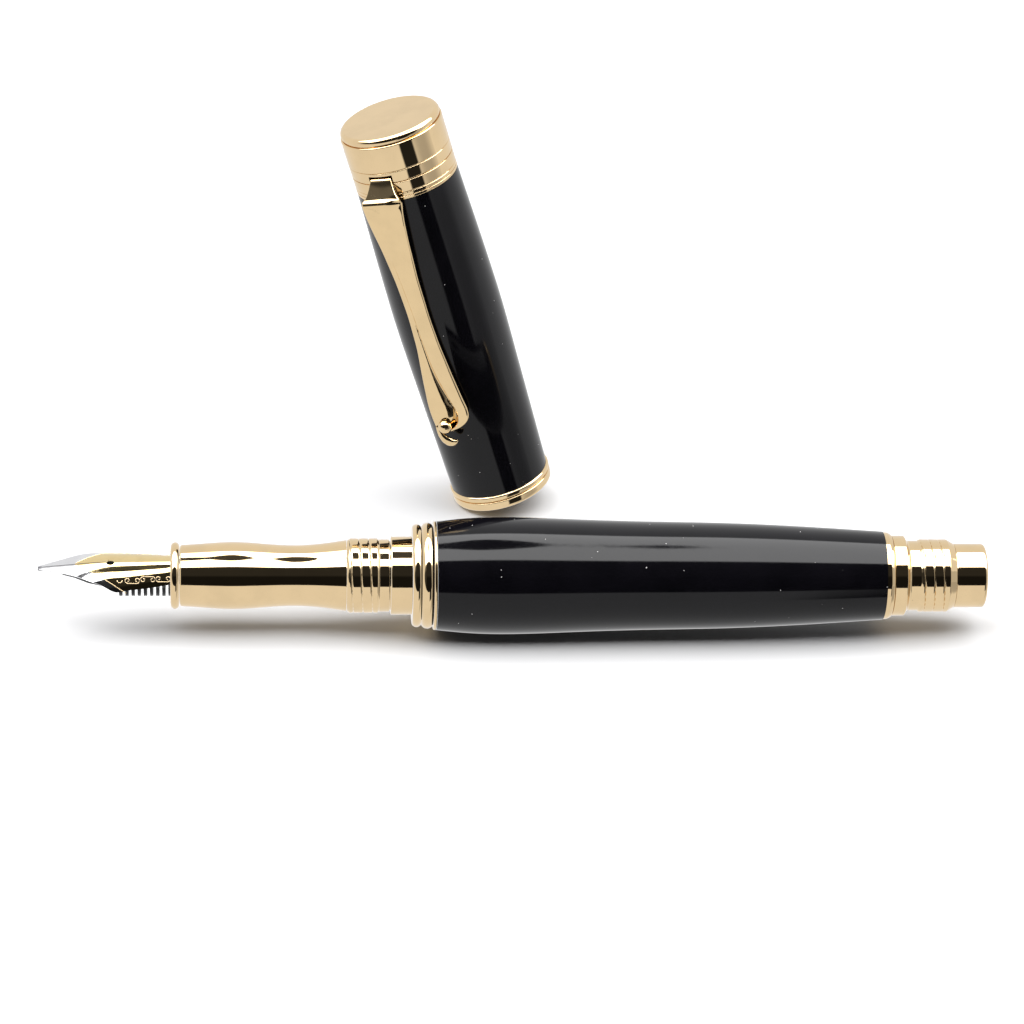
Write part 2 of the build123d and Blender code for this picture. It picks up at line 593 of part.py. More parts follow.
for makers, place in ((PEN_PARTS, PEN_PLACE), (NIB_PARTS, NIB_PLACE), (CAP_PARTS, CAP_PLACE),
                      (CLIP_PARTS, CLIP_PLACE)):
    for maker in makers:
        parts[maker.__name__] = maker().moved(place)

os.makedirs("parts", exist_ok=True)
for name, shape in parts.items():
    export_step(shape, f"parts/{name}.step")

whole = Compound(children=list(parts.values())).bounding_box()
print("pen axis at y", round(PEN_Y, 3), "x offset", round(PEN_X, 3))
print("box", whole.min, whole.max)
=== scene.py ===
"""Fountain pen with its cap standing behind it: meshes, finishes, studio and camera.

Sizes below are millimetres along the pen or the cap, as in the CAD source. Each mesh is built in
a local frame (pen, nib, cap or clip) that is placed from the record's mounts, and scaled to metres.
"""

import json
import math

import bmesh
import bpy
import numpy as np
from mathutils import Matrix, Vector


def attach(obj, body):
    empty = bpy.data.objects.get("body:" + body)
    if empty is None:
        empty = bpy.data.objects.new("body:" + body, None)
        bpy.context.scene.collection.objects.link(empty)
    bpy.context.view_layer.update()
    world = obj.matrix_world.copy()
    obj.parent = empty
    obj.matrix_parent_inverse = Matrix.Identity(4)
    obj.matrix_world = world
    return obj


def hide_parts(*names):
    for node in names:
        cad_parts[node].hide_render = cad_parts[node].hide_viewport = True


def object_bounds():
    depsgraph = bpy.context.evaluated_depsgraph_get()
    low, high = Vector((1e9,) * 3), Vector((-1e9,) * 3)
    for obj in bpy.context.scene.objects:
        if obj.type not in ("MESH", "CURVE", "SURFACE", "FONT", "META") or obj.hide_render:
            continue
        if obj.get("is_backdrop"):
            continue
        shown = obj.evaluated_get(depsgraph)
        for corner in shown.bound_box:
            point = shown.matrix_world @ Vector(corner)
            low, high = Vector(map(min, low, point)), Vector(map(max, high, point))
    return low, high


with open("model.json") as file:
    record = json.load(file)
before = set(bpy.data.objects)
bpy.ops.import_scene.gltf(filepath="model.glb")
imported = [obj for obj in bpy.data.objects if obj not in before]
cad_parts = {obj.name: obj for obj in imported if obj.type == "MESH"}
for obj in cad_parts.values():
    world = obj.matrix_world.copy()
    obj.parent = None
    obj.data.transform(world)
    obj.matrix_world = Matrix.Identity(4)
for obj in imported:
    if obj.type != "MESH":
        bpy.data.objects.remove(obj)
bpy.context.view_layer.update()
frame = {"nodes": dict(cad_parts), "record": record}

MM = 0.001
SEGMENTS = 224  # round a turned part

# ---- places, from the record ----
TAIL_END = 66.9  # pen station of the tail_end mount
CAP_HEIGHT = 61.9  # cap station of the finial_top mount
NIB_ROLL = 14.0  # crown of the nib, from up towards the front
CLIP_ANGLE = 245.0  # clip's direction round the cap

mounts = {m["name"]: m for m in frame["record"]["mounts"]}
pen_origin = Vector(mounts["tail_end"]["pos_m"]) - Vector((TAIL_END * MM, 0, 0))
cap_axis = Vector(mounts["finial_top"]["axis"]).normalized()
cap_origin = Vector(mounts["finial_top"]["pos_m"]) - cap_axis * CAP_HEIGHT * MM
cap_lean = math.atan2(-cap_axis.x, cap_axis.z)

PEN = Matrix.Translation(pen_origin)
NIB = PEN @ Matrix.Rotation(math.radians(NIB_ROLL), 4, "X")
CAP = Matrix.Translation(cap_origin) @ Matrix.Rotation(-cap_lean, 4, "Y")
CLIP = CAP @ Matrix.Rotation(math.radians(CLIP_ANGLE), 4, "Z")

# ---- camera and light ----
CAMERA_AZIMUTH = -3.8
CAMERA_ELEVATION = 27.5
CAMERA_DISTANCE = 627.0
CAMERA_ROLL = 1.8  # keeps the pen level in the picture
CAMERA_RISE = 8.95  # the pen lies a little below the middle
CAMERA_SIDE = -0.24
LENS = 156.45
SENSOR = 36.0


# ======== profiles and turned meshes ========
NEARLY_STRAIGHT = math.radians(172)  # a corner flatter than this isn't rounded
ARC_STEP = math.radians(11)
CORNER_REACH = 0.48  # of the shorter side, the most that a rounding takes


def spline(points, step=0.25):
    """Smooth curve through (along, radius) points: a natural cubic in chord length."""
    p = np.array(points, float)
    t = np.concatenate([[0], np.cumsum(np.hypot(*np.diff(p, axis=0).T))])
    h = np.diff(t)
    n = len(p)
    system = np.eye(n)
    right = np.zeros((n, 2))
    for i in range(1, n - 1):
        system[i, i - 1:i + 2] = h[i - 1], 2 * (h[i - 1] + h[i]), h[i]
        right[i] = 6 * ((p[i + 1] - p[i]) / h[i] - (p[i] - p[i - 1]) / h[i - 1])
    m = np.linalg.solve(system, right)
    out = []
    for i in range(n - 1):
        count = max(2, int(h[i] / step))
        for k in range(count):
            a = (k / count) * h[i]
            b = h[i] - a
            out.append((m[i] * b ** 3 + m[i + 1] * a ** 3) / (6 * h[i])
                       + (p[i] / h[i] - m[i] * h[i] / 6) * b
                       + (p[i + 1] / h[i] - m[i + 1] * h[i] / 6) * a)
    out.append(p[-1])
    return [tuple(q) for q in out]


def arc3(start, middle, end, count=16):
    """Circular arc through three points."""
    a, b, c = (complex(*q) for q in (start, middle, end))
    w = (c - a) / (b - a)
    centre = a + (b - a) * (w - abs(w) ** 2) / (2j * w.imag)
    radius = abs(a - centre)
    turn = [math.atan2((q - centre).imag, (q - centre).real) for q in (a, b, c)]
    sweep = (turn[2] - turn[0]) % (2 * math.pi)
    if (turn[1] - turn[0]) % (2 * math.pi) > sweep:
        sweep -= 2 * math.pi
    return [(centre.real + radius * math.cos(turn[0] + sweep * k / count),
             centre.imag + radius * math.sin(turn[0] + sweep * k / count))
            for k in range(count + 1)]


def soften(points):
    """Closed outline with rounded corners. A point is (along, radius) or (along, radius, rounding)."""
    n = len(points)
    out = []
    for i, point in enumerate(points):
        rounding = point[2] if len(point) > 2 else 0.0
        here = np.array(point[:2], float)
        before = np.array(points[i - 1][:2], float) - here
        after = np.array(points[(i + 1) % n][:2], float) - here
        lengths = np.linalg.norm(before), np.linalg.norm(after)
        if rounding <= 0 or min(lengths) < 1e-9 or abs(here[1]) < 1e-9:
            out.append(tuple(here))
            continue
        u, v = before / lengths[0], after / lengths[1]
        inside = math.acos(max(-1.0, min(1.0, float(u @ v))))
        if inside > NEARLY_STRAIGHT:
            out.append(tuple(here))
            continue
        reach = min(rounding / math.tan(inside / 2), CORNER_REACH * min(lengths))
        radius = reach * math.tan(inside / 2)
        bisector = (u + v) / np.linalg.norm(u + v)
        centre = here + bisector * radius / math.sin(inside / 2)
        first, last = here + u * reach - centre, here + v * reach - centre
        start = math.atan2(first[1], first[0])
        sweep = (math.atan2(last[1], last[0]) - start + math.pi) % (2 * math.pi) - math.pi
        count = max(3, int(abs(sweep) / ARC_STEP))
        for k in range(count + 1):
            angle = start + sweep * k / count
            out.append((centre[0] + radius * math.cos(angle),
                        centre[1] + radius * math.sin(angle)))
    return out


def held(profile, margin=0.05):
    """The profile with points added near the ends of long straights, which keeps them straight."""
    out = []
    for i, start in enumerate(profile):
        end = profile[(i + 1) % len(profile)]
        out.append(start)
        length = math.hypot(end[0] - start[0], end[1] - start[1])
        if length > 5 * margin:
            for share in (margin / length, 1 - margin / length):
                out.append((start[0] + (end[0] - start[0]) * share,
                            start[1] + (end[1] - start[1]) * share))
    return out


def turned(profile, axis="X", shape=None, segments=SEGMENTS):
    """Points and quads of a closed profile turned about X or Z. shape may change the radii."""
    profile = np.array(held([q[:2] for q in profile]), float)
    angle = np.arange(segments) * 2 * math.pi / segments
    along = np.repeat(profile[:, :1], segments, 1)
    radius = np.repeat(profile[:, 1:2], segments, 1)
    if shape:
        radius = shape(along, radius, angle[None, :])
    round_a, round_b = radius * np.cos(angle), radius * np.sin(angle)
    order = (along, round_a, round_b) if axis == "X" else (round_a, round_b, along)
    points = np.stack(order, -1).reshape(-1, 3)
    rings = len(profile)
    ring = np.arange(rings)[:, None] * segments
    step = np.arange(segments)[None, :]
    after_ring = ((np.arange(rings) + 1) % rings)[:, None] * segments
    after_step = (step + 1) % segments
    faces = np.stack([ring + step, ring + after_step, after_ring + after_step,
                      after_ring + step], -1).reshape(-1, 4)
    return points, faces.tolist()


def thread(first, last, root, crest, pitch, fade=0.5):
    """Radii of a right-handed thread cut on the ring between two stations."""
    def shape(along, radius, angle):
        turn = ((along - first) / pitch - angle / (2 * math.pi)) % 1.0
        height = np.maximum(0.0, 1 - (2 * abs(turn - 0.5)) ** 9) ** 0.6
        ends = np.clip((along - first) / fade, 0, 1) * np.clip((last - along) / fade, 0, 1)
        on = (along > first) & (along < last) & (abs(radius - root) < 0.02)
        return np.where(on, root + (crest - root) * height * ends, radius)
    return shape


def dense(start, end, radius, step=0.045):
    """Points along a straight ring, close enough for a thread."""
    count = int(abs(end - start) / step)
    return [(start + (end - start) * k / count, radius) for k in range(count + 1)]


def tube_faces(count, size, first=0, closed=True):
    """Quads between `count` loops of `size` points each, with a face on each end if closed."""
    faces = []
    for start in range(first, first + (count - 1) * size, size):
        for k in range(size):
            a, b = start + k, start + (k + 1) % size
            faces.append((a, b, b + size, a + size))
    if closed:
        last = first + (count - 1) * size
        faces.append(tuple(first + k for k in range(size)))
        faces.append(tuple(last + k for k in reversed(range(size))))
    return faces


def sheet_ends(count, size):
    """Quads on both ends of a sheet whose loops run along its front and back along its rear."""
    return [(end + k, end + k + 1, end + size - 2 - k, end + size - 1 - k)
            for end in (0, (count - 1) * size) for k in range(size // 2 - 1)]


def piece(name, points, faces, place, body, slot, finish=None, replaces=(), sharp=34.0, uv=None):
    """A mesh piece in its local frame that rides on a body and stands for CAD nodes."""
    mesh = bpy.data.meshes.new(name)
    world = np.array(place)
    world_points = np.array(points, float) * MM @ world[:3, :3].T + world[:3, 3]
    mesh.from_pydata(world_points.tolist(), [], faces)
    if uv is not None:
        layer = mesh.uv_layers.new(name="UVMap")
        loop_points = np.zeros(len(mesh.loops), np.int32)
        mesh.loops.foreach_get("vertex_index", loop_points)
        layer.data.foreach_set("uv", np.array(uv, np.float32)[loop_points].ravel())
    work = bmesh.new()
    work.from_mesh(mesh)
    bmesh.ops.remove_doubles(work, verts=work.verts, dist=3e-7)
    bmesh.ops.dissolve_degenerate(work, edges=work.edges, dist=1e-8)
    bmesh.ops.recalc_face_normals(work, faces=work.faces)
    work.to_mesh(mesh)
    work.free()
    mesh.polygons.foreach_set("use_smooth", np.ones(len(mesh.polygons), bool))
    mesh.set_sharp_from_angle(angle=math.radians(sharp))
    mesh.materials.append(finish or SLOT_FINISH[slot])
    made = bpy.data.objects.new(name, mesh)
    bpy.context.scene.collection.objects.link(made)
    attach(made, body)
    if replaces:
        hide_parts(*replaces)


def turned_piece(name, profile, place, body, slot, axis="X", shape=None, sharp=34.0,
                 segments=SEGMENTS):
    """A turned piece that stands for the CAD node it is named after."""
    points, faces = turned(profile, axis, shape, segments)
    piece(name, points, faces, place, body, slot, replaces=[name.removesuffix("_skin")],
          sharp=sharp)


# ======== finishes ========
def new_finish(name):
    made = bpy.data.materials.new(name)
    made.use_nodes = True
    tree = made.node_tree
    return made, tree, tree.nodes["Principled BSDF"]


def set_values(shader, **values):
    names = {"metal": "Metallic", "rough": "Roughness", "ior": "IOR",
             "specular": "Specular IOR Level", "glass": "Transmission Weight"}
    for key, value in values.items():
        shader.inputs[names[key]].default_value = value


def connect(tree, shader, color, rough, normal):
    for name, value in (("Base Color", color), ("Roughness", rough), ("Normal", normal)):
        tree.links.new(value, shader.inputs[name])


def rgba(color, share=1.0):
    return [c * share for c in color] + [1]


def node(tree, kind, inputs=None, **settings):
    """A shader node with its inputs linked or set."""
    made = tree.nodes.new(kind)
    for key, value in settings.items():
        setattr(made, key, value)
    for key, value in (inputs or {}).items():
        if isinstance(value, bpy.types.NodeSocket):
            tree.links.new(value, made.inputs[key])
        else:
            made.inputs[key].default_value = value
    return made


def noise(tree, scale, detail=3.0, roughness=0.5, stretch=(1, 1, 1)):
    """Noise in the piece's own metres; scale is features per metre."""
    place = node(tree, "ShaderNodeTexCoord").outputs["Object"]
    bent = node(tree, "ShaderNodeMapping", {"Vector": place, "Scale": stretch})
    return node(tree, "ShaderNodeTexNoise", {"Vector": bent.outputs[0], "Scale": scale,
                                             "Detail": detail, "Roughness": roughness}).outputs["Fac"]


def ramp(tree, value, low, high, out_low=0.0, out_high=1.0):
    """Smooth step from out_low to out_high while the value goes from low to high."""
    return node(tree, "ShaderNodeMapRange", {"Value": value, "From Min": low, "From Max": high,
                                             "To Min": out_low, "To Max": out_high},
                interpolation_type="SMOOTHSTEP").outputs[0]


def maths(tree, operation, *values):
    return node(tree, "ShaderNodeMath", dict(enumerate(values)), operation=operation).outputs[0]


def mixed(tree, factor, first, second):
    return node(tree, "ShaderNodeMix", {0: factor, 6: first, 7: second},
                data_type="RGBA").outputs[2]


def bump(tree, height, distance):
    return node(tree, "ShaderNodeBump", {"Height": height, "Distance": distance}).outputs[0]


def specks(tree, cell, radius, share):
    """Sparse round specks: 1 on a speck. Cell and radius in metres."""
    place = node(tree, "ShaderNodeTexCoord").outputs["Object"]
    cells = node(tree, "ShaderNodeTexVoronoi", {"Vector": place, "Scale": 1 / cell})
    near = ramp(tree, cells.outputs["Distance"], radius / cell, radius / cell * 0.6)
    shade = node(tree, "ShaderNodeSeparateColor", {0: cells.outputs["Color"]})
    kept = maths(tree, "GREATER_THAN", shade.outputs[0], 1 - share)
    return maths(tree, "MULTIPLY", near, kept)


def gold_finish(name, color, rough, wear=1.0):
    """Polished plate: nearly a mirror, with faint waves, hairline haze and a few dark pits."""
    made, tree, shader = new_finish(name)
    set_values(shader, metal=1.0, rough=rough)
    cloud = ramp(tree, noise(tree, 260.0, 4.0), 0.35, 0.7)
    tint = mixed(tree, cloud, rgba(color), rgba(color, 0.94))
    pits = specks(tree, 0.0017, 0.00007, 0.10 * wear)
    pitted = mixed(tree, pits, tint, rgba(color, 0.25))
    haze = ramp(tree, noise(tree, 900.0, 5.0, 0.65), 0.35, 0.75, rough, rough + 0.05 * wear)
    rougher = maths(tree, "ADD", haze, maths(tree, "MULTIPLY", pits, 0.3))
    wave = bump(tree, noise(tree, 420.0, 2.0), 0.000004 * wear)
    connect(tree, shader, pitted, rougher, wave)
    return made


def resin_finish():
    """Buffed black resin: deep gloss, faint polishing swirls and dust."""
    made, tree, shader = new_finish("black_resin_finish")
    set_values(shader, rough=0.08, ior=1.345)
    dust = maths(tree, "MAXIMUM", specks(tree, 0.0015, 0.000085, 0.5),
                 specks(tree, 0.0037, 0.00011, 0.42))
    cloud = ramp(tree, noise(tree, 180.0, 3.0), 0.3, 0.7)
    black = mixed(tree, cloud, [0.0016, 0.0015, 0.0022, 1], [0.0024, 0.0022, 0.0032, 1])
    dusty = mixed(tree, dust, black, [0.42, 0.41, 0.40, 1])
    swirl = ramp(tree, noise(tree, 1500.0, 4.0, 0.7), 0.35, 0.8, 0.06, 0.12)
    rougher = maths(tree, "ADD", swirl, maths(tree, "MULTIPLY", dust, 0.5))
    height = maths(tree, "ADD", maths(tree, "MULTIPLY", noise(tree, 300.0, 2.0), 0.25), dust)
    connect(tree, shader, dusty, rougher, bump(tree, height, 0.000012))
    return made


def plain_finish(name, color, rough, metal=0.0, grain=500.0, depth=0.00001, spread=0.85, **more):
    """Moulded or turned material with grain in its colour, roughness and surface."""
    made, tree, shader = new_finish(name)
    set_values(shader, metal=metal, rough=rough, **more)
    cloud = noise(tree, grain, 5.0, 0.6)
    tint = mixed(tree, ramp(tree, cloud, 0.3, 0.7), rgba(color, spread), rgba(color))
    haze = ramp(tree, cloud, 0.3, 0.75, rough * 0.8, min(1.0, rough * 1.3))
    connect(tree, shader, tint, haze, bump(tree, cloud, depth))
    return made


NIB_BORDER_START = 4.9  # from the tip to where the border meets the slit
NIB_BORDER_SLOPE = 0.66  # sideways per millimetre towards the tail


def nib_finish():
    """Two-tone plate: silver at the tines and wing fronts, gold behind a V-shaped border."""
    made, tree, shader = new_finish("nib_finish")
    set_values(shader, metal=1.0, rough=0.05)
    flat = node(tree, "ShaderNodeTexCoord").outputs["UV"]
    parts = node(tree, "ShaderNodeSeparateXYZ", {0: flat})
    along, across = parts.outputs[0], maths(tree, "ABSOLUTE", parts.outputs[1])
    edge = maths(tree, "MULTIPLY", maths(tree, "SUBTRACT", along, NIB_BORDER_START),
                 NIB_BORDER_SLOPE)
    golden = ramp(tree, maths(tree, "SUBTRACT", edge, across), -0.03, 0.03)
    cloud = ramp(tree, noise(tree, 500.0, 4.0), 0.3, 0.7)
    silver = mixed(tree, cloud, [0.80, 0.80, 0.81, 1], [0.74, 0.74, 0.76, 1])
    gold = mixed(tree, cloud, [0.82, 0.65, 0.34, 1], [0.77, 0.60, 0.31, 1])
    haze = ramp(tree, noise(tree, 1600.0, 5.0, 0.7, (0.1, 1, 1)), 0.3, 0.8, 0.035, 0.10)
    connect(tree, shader, mixed(tree, golden, silver, gold), haze,
            bump(tree, noise(tree, 700.0, 3.0), 0.000003))
    return made


GOLD = gold_finish("gold_plate_finish", (0.80, 0.605, 0.355), 0.025)
GOLD_CLIP = gold_finish("gold_plate_clip_finish", (0.80, 0.60, 0.34), 0.04, 1.3)
RESIN = resin_finish()
BRASS = plain_finish("raw_brass_finish", (0.70, 0.50, 0.22), 0.28, 1.0, 900.0, 0.000012)
NIB_METAL = nib_finish()
TIPPING = plain_finish("tipping_finish", (0.17, 0.17, 0.18), 0.25, 1.0, 3000.0, 0.000003)
BLACK_PLASTIC = plain_finish("black_plastic_finish", (0.007, 0.007, 0.008), 0.32, 0.0, 1200.0,
                             0.00001, ior=1.32)
NICKEL = plain_finish("silver_plate_finish", (0.78, 0.78, 0.79), 0.09, 1.0, 700.0, 0.000003, 0.93)
WHITE_PLASTIC = plain_finish("white_plastic_finish", (0.80, 0.80, 0.78), 0.35, 0.0, 900.0,
                             0.00001, 0.93)
CLEAR_PLASTIC = plain_finish("clear_plastic_finish", (0.93, 0.96, 0.97), 0.05, grain=300.0,
                             depth=0.000004, spread=0.97, glass=1.0, ior=1.49)
RUBBER = plain_finish("seal_rubber_finish", (0.03, 0.03, 0.032), 0.55, 0.0, 1500.0, 0.00002)

SLOT_FINISH = {"black_resin": RESIN, "gold_plate": GOLD, "raw_brass": BRASS,
               "nib_metal": NIB_METAL, "black_plastic": BLACK_PLASTIC, "silver_plate": NICKEL,
               "white_plastic": WHITE_PLASTIC, "clear_plastic": CLEAR_PLASTIC,
               "seal_rubber": RUBBER}


# every CAD node gets its slot's finish, shown or not
for part in frame["record"]["subparts"]:
    cad_materials = frame["nodes"][part["node"]].data.materials
    cad_materials.clear()
    cad_materials.append(SLOT_FINISH[part["material_slot"]])

# ======== pen ========
BARREL_OUTLINE = [(-10.75, 7.67), (-5.5, 8.13), (-0.6, 8.236), (8.0, 7.98), (18.0, 7.67),
                  (30.0, 7.44), (42.0, 6.90), (52.4, 6.24)]
BARREL_R = 8.238  # widest, where the barrel touches the table
GRIP_OUTLINE = [(-46.55, 4.31), (-43.85, 4.49), (-39.4, 4.74), (-34.9, 4.49), (-31.25, 4.28),
                (-27.0, 4.50), (-23.5, 5.00)]
THREAD_PITCH = 1.36


def barrel():
    skin = [(a, min(r, BARREL_R)) for a, r in spline(BARREL_OUTLINE, 0.35)]
    profile = skin + [(52.4, 5.5), (-10.75, 5.5)]
    turned_piece("barrel_sleeve_skin", profile, PEN, "barrel", "black_resin", segments=288)


def coupler():
    """Thread, ring, groove and collar ahead of the band, with the bore for the section."""
    outline = [(-23.4, 4.2), (-23.4, 4.86, 0.05), (-23.2, 5.02)]
    outline += dense(-23.12, -18.9, 5.02)
    outline += [(-18.82, 5.02), (-18.82, 5.1, 0.08), (-17.4, 5.1, 0.12), (-17.4, 4.88, 0.04),
                (-17.2, 4.88, 0.04), (-17.2, 5.5, 0.14), (-14.2, 5.5, 0.05), (-14.2, 5.12),
                (-3.0, 5.12, 0.2), (-3.0, 4.2)]
    cut = thread(-23.3, -18.75, 5.02, 5.25, THREAD_PITCH, 0.35)
    turned_piece("centre_coupler_skin", soften(outline), PEN, "barrel", "gold_plate",
                 shape=cut, sharp=75)


def band():
    """Trim ring: narrow bead, wide bead and a fine rim against the barrel."""
    outline = [(-14.2, 5.15), (-14.2, 5.5), (-14.19, 6.82)]
    outline += arc3((-14.19, 6.86), (-13.5, 7.25), (-12.91, 6.88), 22)
    outline += arc3((-12.89, 6.9), (-12.06, 7.46), (-11.22, 6.95), 26)
    outline += arc3((-11.2, 7.3), (-10.99, 7.66), (-10.77, 7.42), 12)
    outline += [(-10.75, 5.5), (-10.75, 5.15)]
    turned_piece("centre_band_skin", outline, PEN, "barrel", "gold_plate", sharp=40)


def section():
    """Waisted grip with its tail inside the coupler, and the lip round the nib."""
    outline = [(-46.72, 4.13)] + spline(GRIP_OUTLINE, 0.25)
    outline += [(-23.46, 5.0), (-23.46, 4.15), (-14.6, 4.15, 0.2), (-14.6, 3.6), (-25.0, 3.6),
                (-25.0, 3.45), (-45.05, 3.45), (-45.05, 3.82), (-46.72, 3.82)]
    turned_piece("grip_section_skin", soften(outline), PEN, "section", "gold_plate", segments=256)
    lip = arc3((-48.02, 4.02), (-47.4, 4.7), (-46.78, 4.05), 24)
    ring = [(-47.62, 3.45), (-48.02, 3.75)] + lip + [(-46.76, 3.8), (-45.1, 3.8), (-45.1, 3.45)]
    turned_piece("section_nose_ring_skin", ring, PEN, "section", "gold_plate")


def tail():
    """Trim ring, neck, posting thread and plain end."""
    ring = soften([(52.4, 5.15), (52.4, 6.16, 0.05), (53.0, 6.14, 0.3), (53.5, 5.9, 0.35),
                   (53.6, 5.62, 0.05), (53.6, 5.15)])
    turned_piece("tail_trim_ring_skin", ring, PEN, "barrel", "gold_plate")
    neck = [(45.0, 3.9), (45.0, 5.12, 0.1), (53.6, 5.12), (53.62, 5.67, 0.1),
            (55.35, 5.67, 0.12), (55.72, 5.1, 0.1), (55.95, 4.94, 0.1), (57.3, 4.94)]
    neck += dense(57.4, 61.7, 4.97)
    neck += [(61.85, 4.9, 0.1), (62.48, 4.52, 0.1), (62.5, 3.9)]
    cut = thread(57.3, 61.75, 4.97, 5.15, THREAD_PITCH, 0.3)
    turned_piece("tail_thread_bush_skin", soften(neck), PEN, "barrel", "gold_plate",
                 shape=cut, sharp=75)
    plug = soften([(61.5, 0.0), (61.5, 3.88), (62.5, 3.88), (62.5, 4.46, 0.06), (62.62, 4.51, 0.06),
                   (66.9, 4.51, 0.5), (66.9, 0.0)])
    turned_piece("tail_end_plug_skin", plug, PEN, "barrel", "gold_plate")


# ======== nib unit ========
NIB_TIP = -66.4
# stations from tip to tail: X, height of the crown, radius of the section, half width
NIB_STATIONS = [(-66.4, 1.52, 9.0, 0.36), (-64.8, 1.74, 9.0, 0.82), (-63.0, 1.93, 9.0, 1.44),
                (-61.2, 2.16, 8.5, 2.14), (-59.4, 2.37, 5.9, 2.88), (-57.75, 2.50, 5.2, 3.33),
                (-56.2, 2.58, 4.7, 3.90), (-55.3, 2.59, 4.6, 3.97), (-54.2, 2.60, 4.47, 3.75),
                (-51.0, 2.66, 3.8, 3.34), (-48.3, 2.70, 3.23, 2.90), (-47.45, 2.78, 2.86, 2.69),
                (-39.0, 2.85, 2.85, 2.69)]
NIB_THICKNESS = 0.28
BREATHER_X = -56.4
BREATHER_R = 0.6
SLIT_HALF = 0.06
NIB_ROWS = 26
TIPPING_SCALE = (0.9, 0.80, 1.15)
TIPPING_AT = (0.32, 0.205, 1.36)  # from the tip, from the slit and up


def nib_values(x):
    """Crown height, curvature and half width of the nib at a station."""
    table = np.array(NIB_STATIONS)
    table[:, 2] = 1 / table[:, 2]
    return [float(np.interp(x, table[:, 0], table[:, k])) for k in (1, 2, 3)]


def smooth_nib_values(x):
    """Crown height, radius and half angle, averaged over a reach so that no crease shows."""
    reach = 0.9 * min(1.0, (x - NIB_TIP) / 2.0)
    shares = np.linspace(-1, 1, 9)
    samples = [nib_values(x + reach * k) for k in shares]
    crown, curvature, half_width = np.average(samples, axis=0, weights=1.15 - abs(shares))
    return crown, 1 / curvature, math.degrees(math.asin(min(0.97, half_width * curvature)))


def nib_point(x, arc, lift=0.0):
    """A point of the nib's outer face: station, sideways arc length and height over the face."""
    crown, radius, _ = smooth_nib_values(x)
    angle = arc / radius
    return (x, (radius + lift) * math.sin(angle), crown - radius + (radius + lift) * math.cos(angle))


def nib_stations():
    """Stations of the nib's mesh, closest at the tines and round the breather."""
    coarse = np.arange(NIB_TIP, -57.6, 0.16)
    hole = BREATHER_X - BREATHER_R * np.cos(np.linspace(0, math.pi, 25))
    fine = np.linspace(-57.55, BREATHER_X - BREATHER_R - 0.05, 6)
    rest = np.concatenate([np.arange(-55.75, -47.5, 0.22), np.arange(-47.5, -39.0, 0.9), [-39.0]])
    return np.unique(np.round(np.concatenate([coarse, fine, hole, rest]), 5))


def nib_gap(x):
    """Half width of the slit or breather at a station; 0 behind the breather."""
    inside = BREATHER_R ** 2 - (x - BREATHER_X) ** 2
    hole = math.sqrt(inside) if inside > 0 else 0.0
    return max(hole, SLIT_HALF) if x < BREATHER_X else hole


def nib_half(side):
    """One tine and wing as a closed sheet of rows from the slit to the edge."""
    stations = nib_stations()
    gaps = [nib_gap(x) for x in stations]
    points, uv = [], []
    for x, gap in zip(stations, gaps):
        crown, radius, half_angle = smooth_nib_values(x)
        inner = math.asin(min(0.9, gap / radius))
        outer = max(math.radians(half_angle), inner + 0.02)
        angles = inner + (outer - inner) * np.linspace(0, 1, NIB_ROWS)
        crown_z = crown - radius
        thin = NIB_THICKNESS * (0.55 + 0.45 * min(1.0, (x - NIB_TIP) / 5.0))
        for depth in (0.0, thin):
            order = angles if depth == 0 else angles[::-1]
            for angle in order:
                r = radius - depth
                points.append((x, side * r * math.sin(angle), crown_z + r * math.cos(angle)))
                uv.append((x - NIB_TIP, side * radius * angle))
    size = 2 * NIB_ROWS
    faces = []
    for index, face in enumerate(tube_faces(len(stations), size, closed=False)):
        i, k = divmod(index, size)
        joined = gaps[i] + gaps[i + 1] < 1e-6  # behind the breather the halves are one sheet
        if k < size - 1 or not joined:
            faces.append(face)
    return points, faces + sheet_ends(len(stations), size), uv


def nib():
    """The nib's two halves as one piece, and the tipping on each tine."""
    left = nib_half(1)
    right = nib_half(-1)
    shift = len(left[0])
    faces = left[1] + [tuple(v + shift for v in face) for face in right[1]]
    piece("nib_skin", left[0] + right[0], faces, NIB, "nib_unit", "nib_metal",
          replaces=["nib"], sharp=50, uv=left[2] + right[2])
    pellet, faces = turned(soften([(-0.52, 0.0), (-0.5, 0.14, 0.1), (-0.15, 0.215, 0.1),
                                   (0.3, 0.18, 0.1), (0.62, 0.0)]), segments=40)
    for side, name in ((1, "left"), (-1, "right")):
        at = (NIB_TIP + TIPPING_AT[0], side * TIPPING_AT[1], TIPPING_AT[2])
        piece(f"nib_tipping_{name}", pellet * TIPPING_SCALE + at, faces, NIB, "nib_unit",
              "nib_metal", TIPPING, sharp=60)


def wire(name, paths, radius, finish, sides=8):
    """Fine raised lines: tubes along paths of local points, sunk half into the surface."""
    points, faces = [], []
    for path in paths:
        p = np.array(path, float)
        along = np.gradient(p, axis=0)
        along /= np.linalg.norm(along, axis=1)[:, None]
        out = np.stack([np.zeros(len(p)), p[:, 1], p[:, 2]], 1)
        out /= np.linalg.norm(out, axis=1)[:, None]
        side = np.cross(along, out)
        side /= np.linalg.norm(side, axis=1)[:, None]
        first = len(points)
        for i, here in enumerate(p):
            taper = radius * (0.45 if i in (0, len(p) - 1) else 1.0)
            for k in range(sides):
                angle = 2 * math.pi * k / sides
                points.append(here + taper * (math.cos(angle) * side[i] + math.sin(angle) * out[i]))
        faces += tube_faces(len(p), sides, first)
    piece(name, points, faces, NIB, "nib_unit", "nib_metal", finish, sharp=60)


